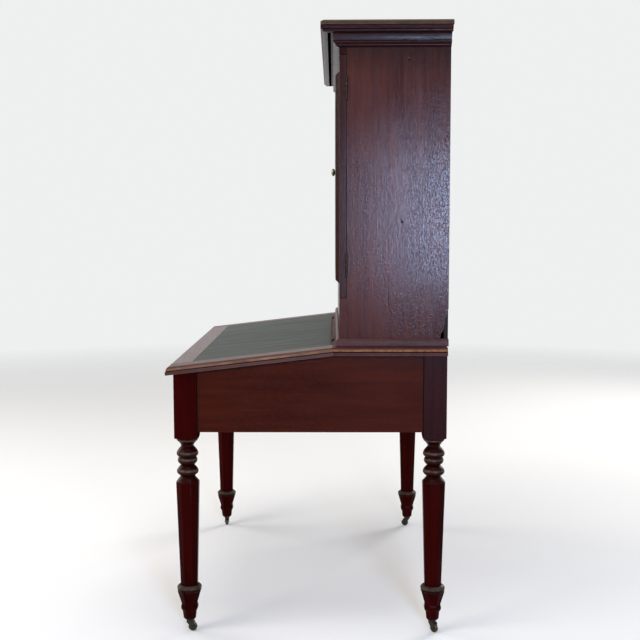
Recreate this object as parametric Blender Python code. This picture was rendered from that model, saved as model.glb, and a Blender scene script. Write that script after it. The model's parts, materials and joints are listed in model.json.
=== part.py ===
"""Postmaster desk: a slant-top writing table on turned legs with casters, which carries a letter
cabinet with two doors. Metres; front is -Y, right is +X, up is +Z; origin on the floor, mid-desk."""

import math

import bmesh
import bpy
from mathutils import Matrix

for old in list(bpy.data.objects):
    bpy.data.objects.remove(old)

# Fits
GAP = 0.0003                # between pieces that sit against each other
RUNNING = 0.0004            # between pieces that turn or slide on each other
DOOR_REVEAL = 0.0015        # open line around each door

# Table base
LEG_STOCK = 0.064
LEG_SPAN_X = 0.996          # between leg centres
LEG_SPAN_Y = 0.692
CASTER_HEIGHT = 0.039       # floor to the end of the wooden foot
FOOT_LENGTH = 0.081
COLLAR_LENGTH = 0.019
TURNING_LENGTH = 0.124      # rings and necks between shaft and post
POST_REVEAL = 0.022         # post below the apron
APRON_HEIGHT = 0.216        # below the flat top board
APRON_THICKNESS = 0.022
APRON_SETBACK = 0.004       # apron face behind the post's face
TENON_LENGTH = 0.024
TENON_THICKNESS = 0.009
TENON_HEIGHT = 0.120
TENON_SHOULDER = 0.020      # below and beside a tenon
WELL_FLOOR = 0.012
WELL_GROOVE = 0.007         # depth of the aprons' grooves that hold the well's floor
WELL_RISE = 0.016           # floor of the well above the aprons' lower edge

# Top board and lid
TOP_HEIGHT = 0.820          # floor to the flat top
TOP_THICKNESS = 0.022
LID_SLOPE = math.radians(6.7)
LID_SIDE_OVERHANG = 0.016
LID_FRONT_OVERHANG = 0.021
LID_FRAME = 0.070           # width of the lid's stiles and front rail
LID_TONGUE = 0.008
LID_TONGUE_THICKNESS = 0.006
LEATHER = 0.0015
TOP_STRIP = 0.008           # flat top seen between lid and waist moulding

# Letter cabinet
CASE_SIDE_INSET = 0.028     # case side behind the posts' outer faces
CASE_DEPTH = 0.302
CASE_HEIGHT = 0.868         # flat top to the cornice cap
CASE_BOARD = 0.020
CASE_REAR_OVERHANG = 0.005  # beyond the rear posts
PLINTH_HEIGHT = 0.134       # flat top to the doors
HEAD_HEIGHT = 0.075         # doors to the cornice cap
DOOR_THICKNESS = 0.020
HOUSING = 0.006             # depth of the grooves that hold floor, top, shelves and bottom rail
RAIL_SHOULDER = 0.006       # around the bottom rail's tongues
BACK_BOARD = 0.012
BACK_REBATE = 0.010
BACK_BOARDS = 5
SHELF = 0.016
SHELF_SETBACK = 0.012       # behind the front edges of the sides
PIGEONHOLE_HEIGHT = 0.125
PIGEONHOLES = 6             # in each of two rows
DIVIDER = 0.008
CORNICE_HEIGHT = 0.064
CORNICE_PROJECTION = 0.050
CAP_THICKNESS = 0.009
CAP_REAR_OVERHANG = 0.002
WAIST_HEIGHT = 0.021
WAIST_PROJECTION = 0.010
CHIP_DEPTH = 0.026          # corner missing from the right side, low at the rear
CHIP_HEIGHT = 0.104

# Doors
DOOR_STILE = 0.052
DOOR_RAIL = 0.036
DOOR_GROOVE = 0.009
DOOR_TONGUE_THICKNESS = 0.0054
PANEL_BEVEL = 0.010
PANEL_RISE = 0.0105         # panel field in front of the frame

# Hinges
KNUCKLE = 0.0032            # radius
HINGE_PIN = 0.0015          # radius
LEAF = 0.0015
LEAF_SPACE = 0.0006         # between closed leaves
LID_HINGE_LENGTH = 0.060
LID_HINGE_LEAF = 0.016
LID_HINGE_SPAN = 0.680
DOOR_HINGE_LENGTH = 0.064
DOOR_HINGE_LEAF = 0.022
DOOR_HINGE_INSET = 0.090    # door end to hinge middle

# Knob and lock
KNOB_RADIUS = 0.012
KNOB_REACH = 0.022
KNOB_HEIGHT = 0.366         # above the door's lower end
LOCK_DROP = 0.034           # keyhole below the knob
BOLT_HEIGHT = 0.010
BOLT_THICKNESS = 0.0045
BOLT_LENGTH = 0.030
BOLT_THROW = 0.010
PLATE = 0.0012              # escutcheon

# Casters
WHEEL_RADIUS = 0.0125
WHEEL_WIDTH = 0.010
CASTER_TRAIL = 0.008        # axle behind the swivel
CASTER_PLATE = 0.0035
CASTER_PLATE_RADIUS = 0.0145
SWIVEL_RADIUS = 0.0095
PINTLE = 0.003
AXLE = 0.002
CHEEK = 0.002
CASTER_HEADINGS = {"front_right": 90, "rear_right": 35, "front_left": 190, "rear_left": 250}

# Places that follow from the sizes
front_reach = LEG_SPAN_Y / 2 + LEG_STOCK / 2 + LID_FRONT_OVERHANG
rear_reach = LEG_SPAN_Y / 2 + LEG_STOCK / 2 + CASE_REAR_OVERHANG + CAP_REAR_OVERHANG
leg_mid_y = (front_reach - rear_reach) / 2
post_side = LEG_SPAN_X / 2 + LEG_STOCK / 2
post_inner = LEG_SPAN_X / 2 - LEG_STOCK / 2
post_front = leg_mid_y - LEG_SPAN_Y / 2 - LEG_STOCK / 2
post_back = leg_mid_y + LEG_SPAN_Y / 2 + LEG_STOCK / 2
post_front_inner = post_front + LEG_STOCK
post_back_inner = post_back - LEG_STOCK
collar_low = CASTER_HEIGHT + FOOT_LENGTH
shaft_low = collar_low + COLLAR_LENGTH
apron_low = TOP_HEIGHT - TOP_THICKNESS - APRON_HEIGHT
shaft_high = apron_low - POST_REVEAL - TURNING_LENGTH
lid_half = post_side + LID_SIDE_OVERHANG
case_back = post_back + CASE_REAR_OVERHANG
case_front = case_back - CASE_DEPTH
case_half = post_side - CASE_SIDE_INSET
side_front = case_front + DOOR_THICKNESS + GAP
back_front = case_back - BACK_BOARD
hinge_y = case_front - WAIST_PROJECTION - TOP_STRIP
axis_lift = GAP
lid_axis = (0, hinge_y, TOP_HEIGHT + axis_lift)
lid_run = hinge_y - post_front + LID_FRONT_OVERHANG
lid_length = (lid_run + (axis_lift + 0.6 * TOP_THICKNESS) * math.sin(LID_SLOPE)) / math.cos(LID_SLOPE)
door_low = TOP_HEIGHT + PLINTH_HEIGHT
cap_low = TOP_HEIGHT + CASE_HEIGHT
door_high = cap_low - HEAD_HEIGHT


def under_top(y):
    """Height of the underside of the lid, or of the top board behind it, over depth y."""
    if y >= hinge_y:
        return TOP_HEIGHT - TOP_THICKNESS
    drop = (TOP_THICKNESS + axis_lift) / math.cos(LID_SLOPE)
    return lid_axis[2] + (y - hinge_y) * math.tan(LID_SLOPE) - drop


# Materials
def material(name, colour, rough, metal=0.0):
    made = bpy.data.materials.new(name)
    made.use_nodes = True
    shader = made.node_tree.nodes["Principled BSDF"]
    shader.inputs["Base Color"].default_value = (*colour, 1)
    shader.inputs["Roughness"].default_value = rough
    shader.inputs["Metallic"].default_value = metal
    return made


mahogany = material("mahogany", (0.12, 0.045, 0.028), 0.40)
poplar = material("poplar", (0.26, 0.16, 0.085), 0.65)
hide = material("hide", (0.075, 0.085, 0.072), 0.55)
brass = material("brass", (0.33, 0.23, 0.10), 0.38, 1.0)
iron = material("iron", (0.06, 0.055, 0.05), 0.55, 1.0)


# Building tools
def solid(name, bm, stuff, parent=None):
    """A finished piece from a closed bmesh."""
    bmesh.ops.recalc_face_normals(bm, faces=bm.faces)
    mesh = bpy.data.meshes.new(name)
    bm.to_mesh(mesh)
    bm.free()
    piece = bpy.data.objects.new(name, mesh)
    bpy.context.scene.collection.objects.link(piece)
    piece.data.materials.append(stuff)
    piece.parent = parent
    return piece


def skin(rings):
    """A closed skin over rings of equally many points, capped at both ends."""
    bm = bmesh.new()
    rows = [[bm.verts.new(point) for point in ring] for ring in rings]
    for low, high in zip(rows, rows[1:]):
        for i in range(len(low)):
            j = (i + 1) % len(low)
            bm.faces.new((low[i], low[j], high[j], high[i]))
    bm.faces.new(rows[0])
    bm.faces.new(rows[-1])
    return bm


def upon(axis, height, outline):
    """The outline's points lifted to a height along an axis."""
    if axis == "X":
        return [(height, a, b) for a, b in outline]
    if axis == "Y":
        return [(a, height, b) for a, b in outline]
    return [(a, b, height) for a, b in outline]


def prism(axis, outline, low, high):
    return skin([upon(axis, low, outline), upon(axis, high, outline)])


def rectangle(a0, a1, b0, b1):
    return [(a0, b0), (a1, b0), (a1, b1), (a0, b1)]


def block(x0, x1, y0, y1, z0, z1):
    return prism("Z", rectangle(min(x0, x1), max(x0, x1), y0, y1), z0, z1)


def circle(radius, steps, a=0.0, b=0.0):
    turns = [2 * math.pi * (k + 0.5) / steps for k in range(steps)]
    return [(a + radius * math.cos(t), b + radius * math.sin(t)) for t in turns]


def turned(profile, steps, axis="Z"):
    """A solid turned from (radius, height) points, closed by flat ends."""
    return skin([upon(axis, height, circle(radius, steps)) for radius, height in profile])


def merged(*parts):
    """Several closed meshes as separate solids of one bmesh."""
    whole = bmesh.new()
    for bm in parts:
        mesh = bpy.data.meshes.new("part")
        bm.to_mesh(mesh)
        bm.free()
        whole.from_mesh(mesh)
        bpy.data.meshes.remove(mesh)
    return whole


def hoop(rings):
    """A closed skin over rings that run round in a loop, like a frame or a wheel."""
    bm = bmesh.new()
    rows = [[bm.verts.new(point) for point in ring] for ring in rings]
    for low, high in zip(rows, rows[1:] + rows[:1]):
        for i in range(len(low)):
            j = (i + 1) % len(low)
            bm.faces.new((low[i], low[j], high[j], high[i]))
    return bm


def carve(piece, operation, bm):
    """Cut a shape from a piece, or join one to it."""
    tool = solid(piece.name + "_tool", bm, piece.data.materials[0], piece.parent)
    tool.hide_render = True
    tool.display_type = "WIRE"
    step = piece.modifiers.new(operation.lower(), "BOOLEAN")
    step.operation = operation
    step.solver = "EXACT"
    step.object = tool


def pivot(name, place):
    """An empty on a joint's axis."""
    empty = bpy.data.objects.new(name, None)
    empty.matrix_world = place
    bpy.context.scene.collection.objects.link(empty)
    return empty


def arc(low, crown, steps, rising=True):
    """Quarter ellipse between a neck and a crown, each (height, radius); upright at the crown."""
    points = []
    for k in range(1, steps + 1):
        t = math.pi / 2 * (k / steps if rising else 1 - k / steps)
        height = crown[0] + (low[0] - crown[0]) * math.cos(t)
        points.append((height, low[1] + (crown[1] - low[1]) * math.sin(t)))
    return points


def flank(neck, crown, steps, rising=True):
    """Nearly straight slope between a neck and a rounded crown, each (height, radius)."""
    points = []
    for k in range(1, steps + 1):
        u = 1 - k / steps if rising else k / steps
        radius = neck[1] + (crown[1] - neck[1]) * (1 - u ** 1.25)
        points.append((crown[0] + (neck[0] - crown[0]) * u, radius))
    return points


# Legs: planed octagonal below with a turned collar, turned in the middle, square above
LEG_ANGLES = [math.radians(11.25 * k) for k in range(32)]


def reach(angle, sides, apothem, radius):
    """Distance from the leg's axis to its skin, where a lathe has cut a planed bar."""
    period = 2 * math.pi / sides
    off = (angle + period / 2) % period - period / 2
    return min(apothem / math.cos(off), radius)


def leg_stations():
    """(height, sides, apothem, turned radius) from the foot to the post."""
    uncut = LEG_STOCK
    foot = [(0.0, 0.268), (0.25, 0.296), (0.29, 0.313), (0.36, 0.366), (0.43, 0.366), (0.53, 0.336)]
    foot.append((1.0, 0.505))
    stations = [(CASTER_HEIGHT + h * FOOT_LENGTH, 8, w * LEG_STOCK, uncut) for h, w in foot]
    shaft_low_half, shaft_high_half = 0.364 * LEG_STOCK, 0.492 * LEG_STOCK
    crown = (collar_low + 0.42 * COLLAR_LENGTH, 0.530 * LEG_STOCK)
    collar = [(collar_low + 0.06 * COLLAR_LENGTH, 0.515 * LEG_STOCK), crown]
    collar += arc((shaft_low - 0.04 * COLLAR_LENGTH, 0.410 * LEG_STOCK), crown, 2, False)
    stations += [(h, 8, uncut, r) for h, r in collar]
    stations.append((shaft_low, 8, shaft_low_half, uncut))
    stations.append((shaft_high, 8, shaft_high_half, uncut))

    lathe = [(0.026, 0.492), (0.14, 0.300)]
    lathe += flank((0.14, 0.300), (0.245, 0.480), 2) + flank((0.39, 0.280), (0.245, 0.480), 2, False)
    lathe += flank((0.39, 0.280), (0.50, 0.434), 2) + [(0.58, 0.376), (0.65, 0.480)]
    lathe += flank((0.82, 0.278), (0.65, 0.480), 2, False)
    for h, r in lathe:
        stations.append((shaft_high + h * TURNING_LENGTH, 8, shaft_high_half, r * LEG_STOCK))
    for h, r in ((0.85, 0.278), (0.905, 0.50), (0.95, 0.62), (1.0, 0.708)):
        stations.append((shaft_high + h * TURNING_LENGTH, 4, LEG_STOCK / 2, r * LEG_STOCK))
    return stations


def leg(name, x, y, inward_x, inward_y):
    rings = []
    for height, sides, apothem, radius in leg_stations():
        spokes = [(a, reach(a, sides, apothem, radius)) for a in LEG_ANGLES]
        rings.append([(x + r * math.cos(a), y + r * math.sin(a), height) for a, r in spokes])
    top = [(px, py, under_top(py) - GAP) for px, py, pz in rings[-1]]
    bm = skin(rings + [top])
    bmesh.ops.dissolve_limit(bm, angle_limit=0.004, verts=bm.verts, edges=bm.edges)
    piece = solid(name, bm, mahogany)
    half = LEG_STOCK / 2
    middle = half - APRON_SETBACK - APRON_THICKNESS / 2
    thick = TENON_THICKNESS / 2 + GAP
    low = apron_low + TENON_SHOULDER - GAP
    high = low + TENON_HEIGHT + 2 * GAP
    deep = half - TENON_LENGTH - GAP
    side_x = x - inward_x * middle
    y_deep, y_out = y + inward_y * deep, y + inward_y * (half + GAP)
    carve(piece, "DIFFERENCE", block(side_x - thick, side_x + thick,
                                     min(y_deep, y_out), max(y_deep, y_out), low, high))
    front_y = y - inward_y * middle
    carve(piece, "DIFFERENCE", block(x + inward_x * deep, x + inward_x * (half + GAP),
                                     front_y - thick, front_y + thick, low, high))


leg_places = {}
for end, y in (("front", leg_mid_y - LEG_SPAN_Y / 2), ("rear", leg_mid_y + LEG_SPAN_Y / 2)):
    for hand, x in (("right", LEG_SPAN_X / 2), ("left", -LEG_SPAN_X / 2)):
        leg_places[end + "_" + hand] = (x, y)
        leg("leg_" + end + "_" + hand, x, y, -math.copysign(1, x), 1 if end == "front" else -1)

# Aprons, tenoned into the posts
tenon_low = apron_low + TENON_SHOULDER
tenon_high = tenon_low + TENON_HEIGHT
tenon_inset = (APRON_THICKNESS - TENON_THICKNESS) / 2
aprons = []


def apron_section(face, inner, tops):
    return [(face, apron_low), (inner, apron_low), (inner, tops[1]), (face, tops[0])]


for hand, sign in (("right", 1), ("left", -1)):
    face = sign * (post_side - APRON_SETBACK)
    inner = sign * (post_side - APRON_SETBACK - APRON_THICKNESS)
    tenon = rectangle(face - sign * tenon_inset, inner + sign * tenon_inset, tenon_low, tenon_high)
    start, stop = post_front_inner + GAP, post_back_inner - GAP
    rings = [upon("Y", start - GAP - TENON_LENGTH, tenon), upon("Y", start, tenon)]
    for y in (start, hinge_y, stop):
        top = under_top(y) - GAP
        rings.append(upon("Y", y, apron_section(face, inner, (top, top))))
    rings += [upon("Y", stop, tenon), upon("Y", stop + GAP + TENON_LENGTH, tenon)]
    aprons.append(solid("apron_" + hand, skin(rings), mahogany))

for end, face, sign in (("front", post_front + APRON_SETBACK, 1), ("back", post_back - APRON_SETBACK, -1)):
    inner = face + sign * APRON_THICKNESS
    tenon = rectangle(face + sign * tenon_inset, inner - sign * tenon_inset, tenon_low, tenon_high)
    tops = (under_top(face) - GAP, under_top(inner) - GAP)
    board = apron_section(face, inner, tops)
    stop = post_inner - GAP
    rings = [upon("X", -stop - GAP - TENON_LENGTH, tenon), upon("X", -stop, tenon)]
    rings += [upon("X", -stop, board), upon("X", stop, board)]
    rings += [upon("X", stop, tenon), upon("X", stop + GAP + TENON_LENGTH, tenon)]
    aprons.append(solid("apron_" + end, skin(rings), mahogany))

# Storage well under the lid: a board held in the aprons' grooves, notched around the posts
well_x = post_side - APRON_SETBACK - APRON_THICKNESS
well_front = post_front + APRON_SETBACK + APRON_THICKNESS
well_back = post_back - APRON_SETBACK - APRON_THICKNESS
well_low = apron_low + WELL_RISE
notch_x, notch_front, notch_back = post_inner - GAP, post_front_inner + GAP, post_back_inner - GAP


def well_outline(grow):
    out_x, out_front, out_back = well_x + grow, well_front - grow, well_back + grow
    return [
        (-notch_x, out_front), (notch_x, out_front), (notch_x, notch_front), (out_x, notch_front),
        (out_x, notch_back), (notch_x, notch_back), (notch_x, out_back), (-notch_x, out_back),
        (-notch_x, notch_back), (-out_x, notch_back), (-out_x, notch_front), (-notch_x, notch_front),
    ]


well_high = well_low + WELL_FLOOR
solid("well_floor", prism("Z", well_outline(WELL_GROOVE - GAP), well_low, well_high), poplar)
for side in aprons:
    carve(side, "DIFFERENCE", prism("Z", well_outline(WELL_GROOVE), well_low - GAP, well_high + GAP))

# Thumbnail edge of top board and lid: (inset, height) from the underside, in parts of the thickness
edge = [(0.0, 0.0), (0.0, 0.40), (0.09, 0.42), (0.10, 0.47)]
for k in range(1, 5):
    t = math.pi / 2 * k / 4
    edge.append((0.58 - 0.48 * math.cos(t), 0.47 + 0.53 * math.sin(t)))
edge = [(inset * TOP_THICKNESS, height * TOP_THICKNESS) for inset, height in edge]


def moulded_board(x0, x1, y0, y1, low, left=0, right=0, front=0, lean=0.0):
    """A board whose chosen edges carry the thumbnail; its rear edge may lean back with height."""
    rings = []
    for inset, height in edge:
        rear = y1 + (low + height) * lean
        outline = rectangle(x0 + inset * left, x1 - inset * right, y0 + inset * front, rear)
        rings.append(upon("Z", low + height, outline))
    return skin(rings)


# Flat top behind the lid
top_board = solid("top_board", moulded_board(-lid_half, lid_half, hinge_y + GAP, post_back,
                                             TOP_HEIGHT - TOP_THICKNESS, left=1, right=1), mahogany)

# Lid, modelled flat in front of its hinge line and tilted by its pivot; its rear edge is cut plumb
plumb = math.tan(LID_SLOPE)
lid_pivot = pivot("lid_pivot", Matrix.Translation(lid_axis) @ Matrix.Rotation(LID_SLOPE, 4, "X"))
lid_top = -axis_lift
lid_low = lid_top - TOP_THICKNESS
lid_inner = lid_half - LID_FRAME
lid_front_inner = LID_FRAME - lid_length
panel_front = lid_front_inner + GAP
tongue_low = lid_low + (TOP_THICKNESS - LID_TONGUE_THICKNESS) / 2
tongue_high = tongue_low + LID_TONGUE_THICKNESS
groove = (tongue_low - GAP, tongue_high + GAP)
groove_start = LID_FRAME / 3 - lid_length
for hand, sign in (("right", 1), ("left", -1)):
    stile = solid("lid_stile_" + hand, moulded_board(
        min(sign * lid_inner, sign * lid_half), max(sign * lid_inner, sign * lid_half),
        -lid_length, -GAP, lid_low, left=int(sign < 0), right=int(sign > 0), front=1, lean=plumb),
        mahogany, lid_pivot)
    carve(stile, "DIFFERENCE", block(sign * (lid_inner - GAP), sign * (lid_inner + LID_TONGUE + GAP),
                                     groove_start - GAP, GAP, *groove))
rail_half = lid_inner - GAP
rail = solid("lid_front_rail", moulded_board(-rail_half, rail_half, -lid_length, lid_front_inner,
                                             lid_low, front=1), mahogany, lid_pivot)
rail_tongue = rail_half + GAP + LID_TONGUE
rail_groove = lid_front_inner - LID_TONGUE - GAP
carve(rail, "UNION", block(-rail_tongue, rail_tongue, groove_start, rail_groove - GAP * 2,
                           tongue_low, tongue_high))
carve(rail, "DIFFERENCE", block(-rail_tongue - GAP, rail_tongue + GAP, rail_groove,
                                lid_front_inner + GAP, *groove))
panel_high = lid_top - LEATHER - 2 * GAP
levels = [(lid_low, 0), (tongue_low - GAP / 2, 0), (tongue_low, LID_TONGUE), (tongue_high, LID_TONGUE),
          (tongue_high + GAP / 2, 0), (panel_high, 0)]
rings = []
for height, tongue in levels:
    half = rail_half + (tongue + GAP if tongue else 0)
    plan = rectangle(-half, half, panel_front - tongue, height * plumb - GAP)
    rings.append(upon("Z", height, plan))
lid_panel = solid("lid_panel", skin(rings), mahogany, lid_pivot)
hide_rear = -KNUCKLE - 4 * RUNNING
solid("writing_leather", block(-rail_half, rail_half, panel_front, hide_rear,
                               panel_high + GAP, panel_high + GAP + LEATHER), hide, lid_pivot)


# Butt hinges: a plate hangs down from knuckles along X; the fixed leaf, side 1, carries the pin
def placed(bm, place):
    bmesh.ops.transform(bm, matrix=place, verts=bm.verts)
    return bm


def hinge_leaf(name, length, width, side, place, parent=None):
    near, far = side * LEAF_SPACE / 2, side * (LEAF_SPACE / 2 + LEAF)
    plate_top = -KNUCKLE - RUNNING
    plate = block(-length / 2, length / 2, min(near, far), max(near, far), -width, plate_top)
    piece = solid(name, placed(plate, place), brass, parent)
    left, right = sorted((near + side * LEAF / 12, far - side * LEAF / 12))
    first = math.atan2(-math.sqrt(KNUCKLE ** 2 - right ** 2), right)
    last = math.atan2(-math.sqrt(KNUCKLE ** 2 - left ** 2), left) + 2 * math.pi
    loop = [(right, plate_top - LEAF)]
    for k in range(11):
        t = first + (last - first) * k / 10
        loop.append((KNUCKLE * math.cos(t), KNUCKLE * math.sin(t)))
    loop.append((left, plate_top - LEAF))
    step = length / 5
    for k in ((0, 2, 4) if side > 0 else (1, 3)):
        start = k * step - length / 2
        knuckle = prism("X", loop, start + RUNNING / 2, start + step - RUNNING / 2)
        carve(piece, "UNION", placed(knuckle, place))
    if side > 0:
        pin = prism("X", circle(HINGE_PIN, 10), -length / 2, length / 2)
        carve(piece, "UNION", placed(pin, place))
    else:
        bore = prism("X", circle(HINGE_PIN + GAP / 2, 10), -length, length)
        carve(piece, "DIFFERENCE", placed(bore, place))


# Lid hinges, let into the edges of the top board and the lid
leaf_room = LEAF_SPACE / 2 + LEAF + GAP
knuckle_room = KNUCKLE + RUNNING
for hand, x in (("right", LID_HINGE_SPAN / 2), ("left", -LID_HINGE_SPAN / 2)):
    x0, x1 = x - LID_HINGE_LENGTH / 2 - GAP, x + LID_HINGE_LENGTH / 2 + GAP
    upright = Matrix.Rotation(-LID_SLOPE, 4, "X")
    for board, place, sign in ((top_board, Matrix.Translation(lid_axis), 1), (lid_panel, upright, -1)):
        for room, low in ((leaf_room, -LID_HINGE_LEAF - GAP), (knuckle_room, -knuckle_room)):
            near, far = sorted((-sign * GAP, sign * room))
            carve(board, "DIFFERENCE", placed(block(x0, x1, near, far, low, KNUCKLE), place))
    along = Matrix.Translation((x, 0, 0))
    hinge_leaf("lid_hinge_fixed_leaf_" + hand, LID_HINGE_LENGTH, LID_HINGE_LEAF, 1,
               Matrix.Translation(lid_axis) @ along)
    hinge_leaf("lid_hinge_lid_leaf_" + hand, LID_HINGE_LENGTH, LID_HINGE_LEAF, -1, upright @ along, lid_pivot)

# Casters: a plate with a pintle under each foot, a swivelling fork with its axle, and a wheel
bridge_low = 2 * WHEEL_RADIUS + 5 * GAP
bridge_high = bridge_low + 1.75 * CHEEK
plate_high = CASTER_HEIGHT - GAP
plate_low = plate_high - CASTER_PLATE
swivel_seat = bridge_high + RUNNING
plate_profile = [(PINTLE, bridge_low + GAP), (PINTLE, swivel_seat), (SWIVEL_RADIUS, swivel_seat),
                 (SWIVEL_RADIUS, plate_low - CHEEK), (CASTER_PLATE_RADIUS, plate_low),
                 (CASTER_PLATE_RADIUS, plate_high)]
fork_half = WHEEL_WIDTH / 2 + RUNNING + CHEEK
boss = 2.6 * AXLE
fork_outline = [(-SWIVEL_RADIUS, bridge_high), (-SWIVEL_RADIUS, bridge_low)]
for k in range(7):
    t = math.pi * (1 + k / 6)
    fork_outline.append((CASTER_TRAIL + boss * math.cos(t), WHEEL_RADIUS + boss * math.sin(t)))
fork_outline += [(CASTER_TRAIL + boss, bridge_low), (SWIVEL_RADIUS, bridge_high)]
rim = WHEEL_RADIUS / math.cos(math.pi / 16)
half_wheel = [(AXLE + RUNNING, 0.50), (0.42 * rim, 0.50), (0.50 * rim, 0.36), (0.76 * rim, 0.36),
              (0.84 * rim, 0.50), (rim, 0.34)]
wheel_profile = [(r, -w) for r, w in half_wheel] + list(reversed(half_wheel))
for corner, (x, y) in leg_places.items():
    solid("caster_plate_" + corner, placed(turned(plate_profile, 16), Matrix.Translation((x, y, 0))), iron)
    heading = Matrix.Rotation(math.radians(CASTER_HEADINGS[corner]), 4, "Z")
    swivel = Matrix.Translation((x, y, 0)) @ heading
    swivel_pivot = pivot("swivel_pivot_" + corner, swivel)
    fork = solid("caster_fork_" + corner, prism("Y", fork_outline, -fork_half, fork_half), iron, swivel_pivot)
    slot = fork_half - CHEEK
    carve(fork, "DIFFERENCE", block(-CASTER_PLATE_RADIUS, CASTER_TRAIL + WHEEL_RADIUS, -slot, slot,
                                    0, bridge_low))
    carve(fork, "DIFFERENCE", prism("Z", circle(PINTLE + RUNNING, 12), bridge_low - RUNNING,
                                    bridge_high + RUNNING))
    carve(fork, "UNION", prism("Y", circle(AXLE, 10, CASTER_TRAIL, WHEEL_RADIUS),
                               -fork_half - RUNNING, fork_half + RUNNING))
    axle = pivot("wheel_pivot_" + corner, swivel @ Matrix.Translation((CASTER_TRAIL, 0, WHEEL_RADIUS)))
    wheel = hoop([upon("Y", w * WHEEL_WIDTH, circle(r, 16)) for r, w in wheel_profile])
    solid("caster_wheel_" + corner, wheel, brass, axle)

# Letter cabinet: rebated sides that house the floor, roof and shelf
case_low = TOP_HEIGHT + GAP
side_inner = case_half - CASE_BOARD
floor_high = door_low - DOOR_REVEAL / 2
floor_low = floor_high - CASE_BOARD
roof_low = door_high + HOUSING
roof_high = roof_low + CASE_BOARD
inside_front = side_front + SHELF_SETBACK
nest_low = floor_high + GAP
nest_high = nest_low + 2 * PIGEONHOLE_HEIGHT + 3 * DIVIDER
shelf_low = (nest_high + roof_low - SHELF) / 2
hinge_heights = (door_low + DOOR_HINGE_INSET, door_high - DOOR_HINGE_INSET)
hinge_span = DOOR_HINGE_LENGTH / 2 + GAP
door_axis_y = side_front - DOOR_REVEAL / 4 - GAP / 2
axis_out = case_half + KNUCKLE + RUNNING
leaf_end = axis_out - DOOR_HINGE_LEAF - GAP
housed = [(floor_low, floor_high, side_front), (roof_low, roof_high, side_front),
          (shelf_low, shelf_low + SHELF, inside_front)]
rail_back = case_front + DOOR_THICKNESS
tongue_front, tongue_back = case_front + RAIL_SHOULDER, rail_back - RAIL_SHOULDER
tongue_bottom, tongue_top = case_low + RAIL_SHOULDER, floor_low - RAIL_SHOULDER
broken = [(1.0, 0.0), (0.80, 0.30), (0.52, 0.46), (0.30, 0.74), (0.0, 1.0)]
for hand, sign in (("right", 1), ("left", -1)):
    outline = [(case_back, cap_low - GAP), (side_front, cap_low - GAP), (side_front, floor_high),
               (case_front, floor_high), (case_front, case_low)]
    corner = broken if sign > 0 else [(0.0, 0.0)]
    outline += [(case_back - d * CHIP_DEPTH, case_low + h * CHIP_HEIGHT) for d, h in corner]
    board = prism("X", outline, *sorted((sign * side_inner, sign * case_half)))
    side = solid("case_side_" + hand, board, mahogany)
    carve(side, "DIFFERENCE", block(sign * (side_inner - GAP), sign * (side_inner + BACK_REBATE),
                                    back_front, case_back + GAP, case_low - GAP, cap_low))
    carve(side, "DIFFERENCE", block(sign * (side_inner - GAP), sign * (side_inner + HOUSING + GAP),
                                    tongue_front - GAP, tongue_back + GAP,
                                    tongue_bottom - GAP, tongue_top + GAP))
    for low, high, front in housed:
        carve(side, "DIFFERENCE", block(sign * (side_inner - GAP), sign * (side_inner + HOUSING + GAP),
                                        front - 2 * GAP, back_front + GAP, low - GAP, high + GAP))
    for height in hinge_heights:
        carve(side, "DIFFERENCE", block(sign * leaf_end, sign * (case_half + GAP), side_front - GAP,
                                        door_axis_y + leaf_room, height - hinge_span, height + hinge_span))
housed_end = side_inner + HOUSING
solid("case_floor", block(-housed_end, housed_end, side_front, back_front, floor_low, floor_high), poplar)
solid("case_roof", block(-housed_end, housed_end, side_front, back_front, roof_low, roof_high), poplar)
solid("upper_shelf", block(-housed_end, housed_end, inside_front, back_front, shelf_low, shelf_low + SHELF),
      poplar)
bottom_rail = solid("bottom_rail", block(GAP - side_inner, side_inner - GAP, case_front, rail_back,
                                         case_low, floor_high), mahogany)
carve(bottom_rail, "UNION", block(-housed_end, housed_end, tongue_front, tongue_back,
                                  tongue_bottom, tongue_top))
solid("top_rail", block(-case_half, case_half, case_front, rail_back, door_high + DOOR_REVEAL / 2,
                        cap_low - GAP), mahogany)

# Back of the case: upright boards glued edge to edge, with open joints behind
back_half = side_inner + BACK_REBATE - GAP
back_outline = [(-back_half, back_front + GAP), (back_half, back_front + GAP), (back_half, case_back)]
for k in range(BACK_BOARDS - 1, 0, -1):
    x = back_half * (2 * k / BACK_BOARDS - 1)
    joint, deep = BACK_BOARD / 12, case_back - BACK_BOARD / 4
    back_outline += [(x + joint, case_back), (x + joint, deep), (x - joint, deep), (x - joint, case_back)]
back_outline.append((-back_half, case_back))
solid("back_boards", prism("Z", back_outline, case_low, cap_low - GAP), poplar)

# Nest of pigeonholes, made up outside the case and slid in
nest_half = side_inner - GAP
nest = solid("pigeonhole_nest", block(-nest_half, nest_half, inside_front, back_front, nest_low, nest_high),
             poplar)
hole_width = (2 * nest_half - (PIGEONHOLES + 1) * DIVIDER) / PIGEONHOLES
holes = []
for row in range(2):
    low = nest_low + DIVIDER + row * (PIGEONHOLE_HEIGHT + DIVIDER)
    for k in range(PIGEONHOLES):
        x = -nest_half + DIVIDER + k * (hole_width + DIVIDER)
        holes.append(block(x, x + hole_width, inside_front - GAP, back_front + GAP,
                           low, low + PIGEONHOLE_HEIGHT))
carve(nest, "DIFFERENCE", merged(*holes))

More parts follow.
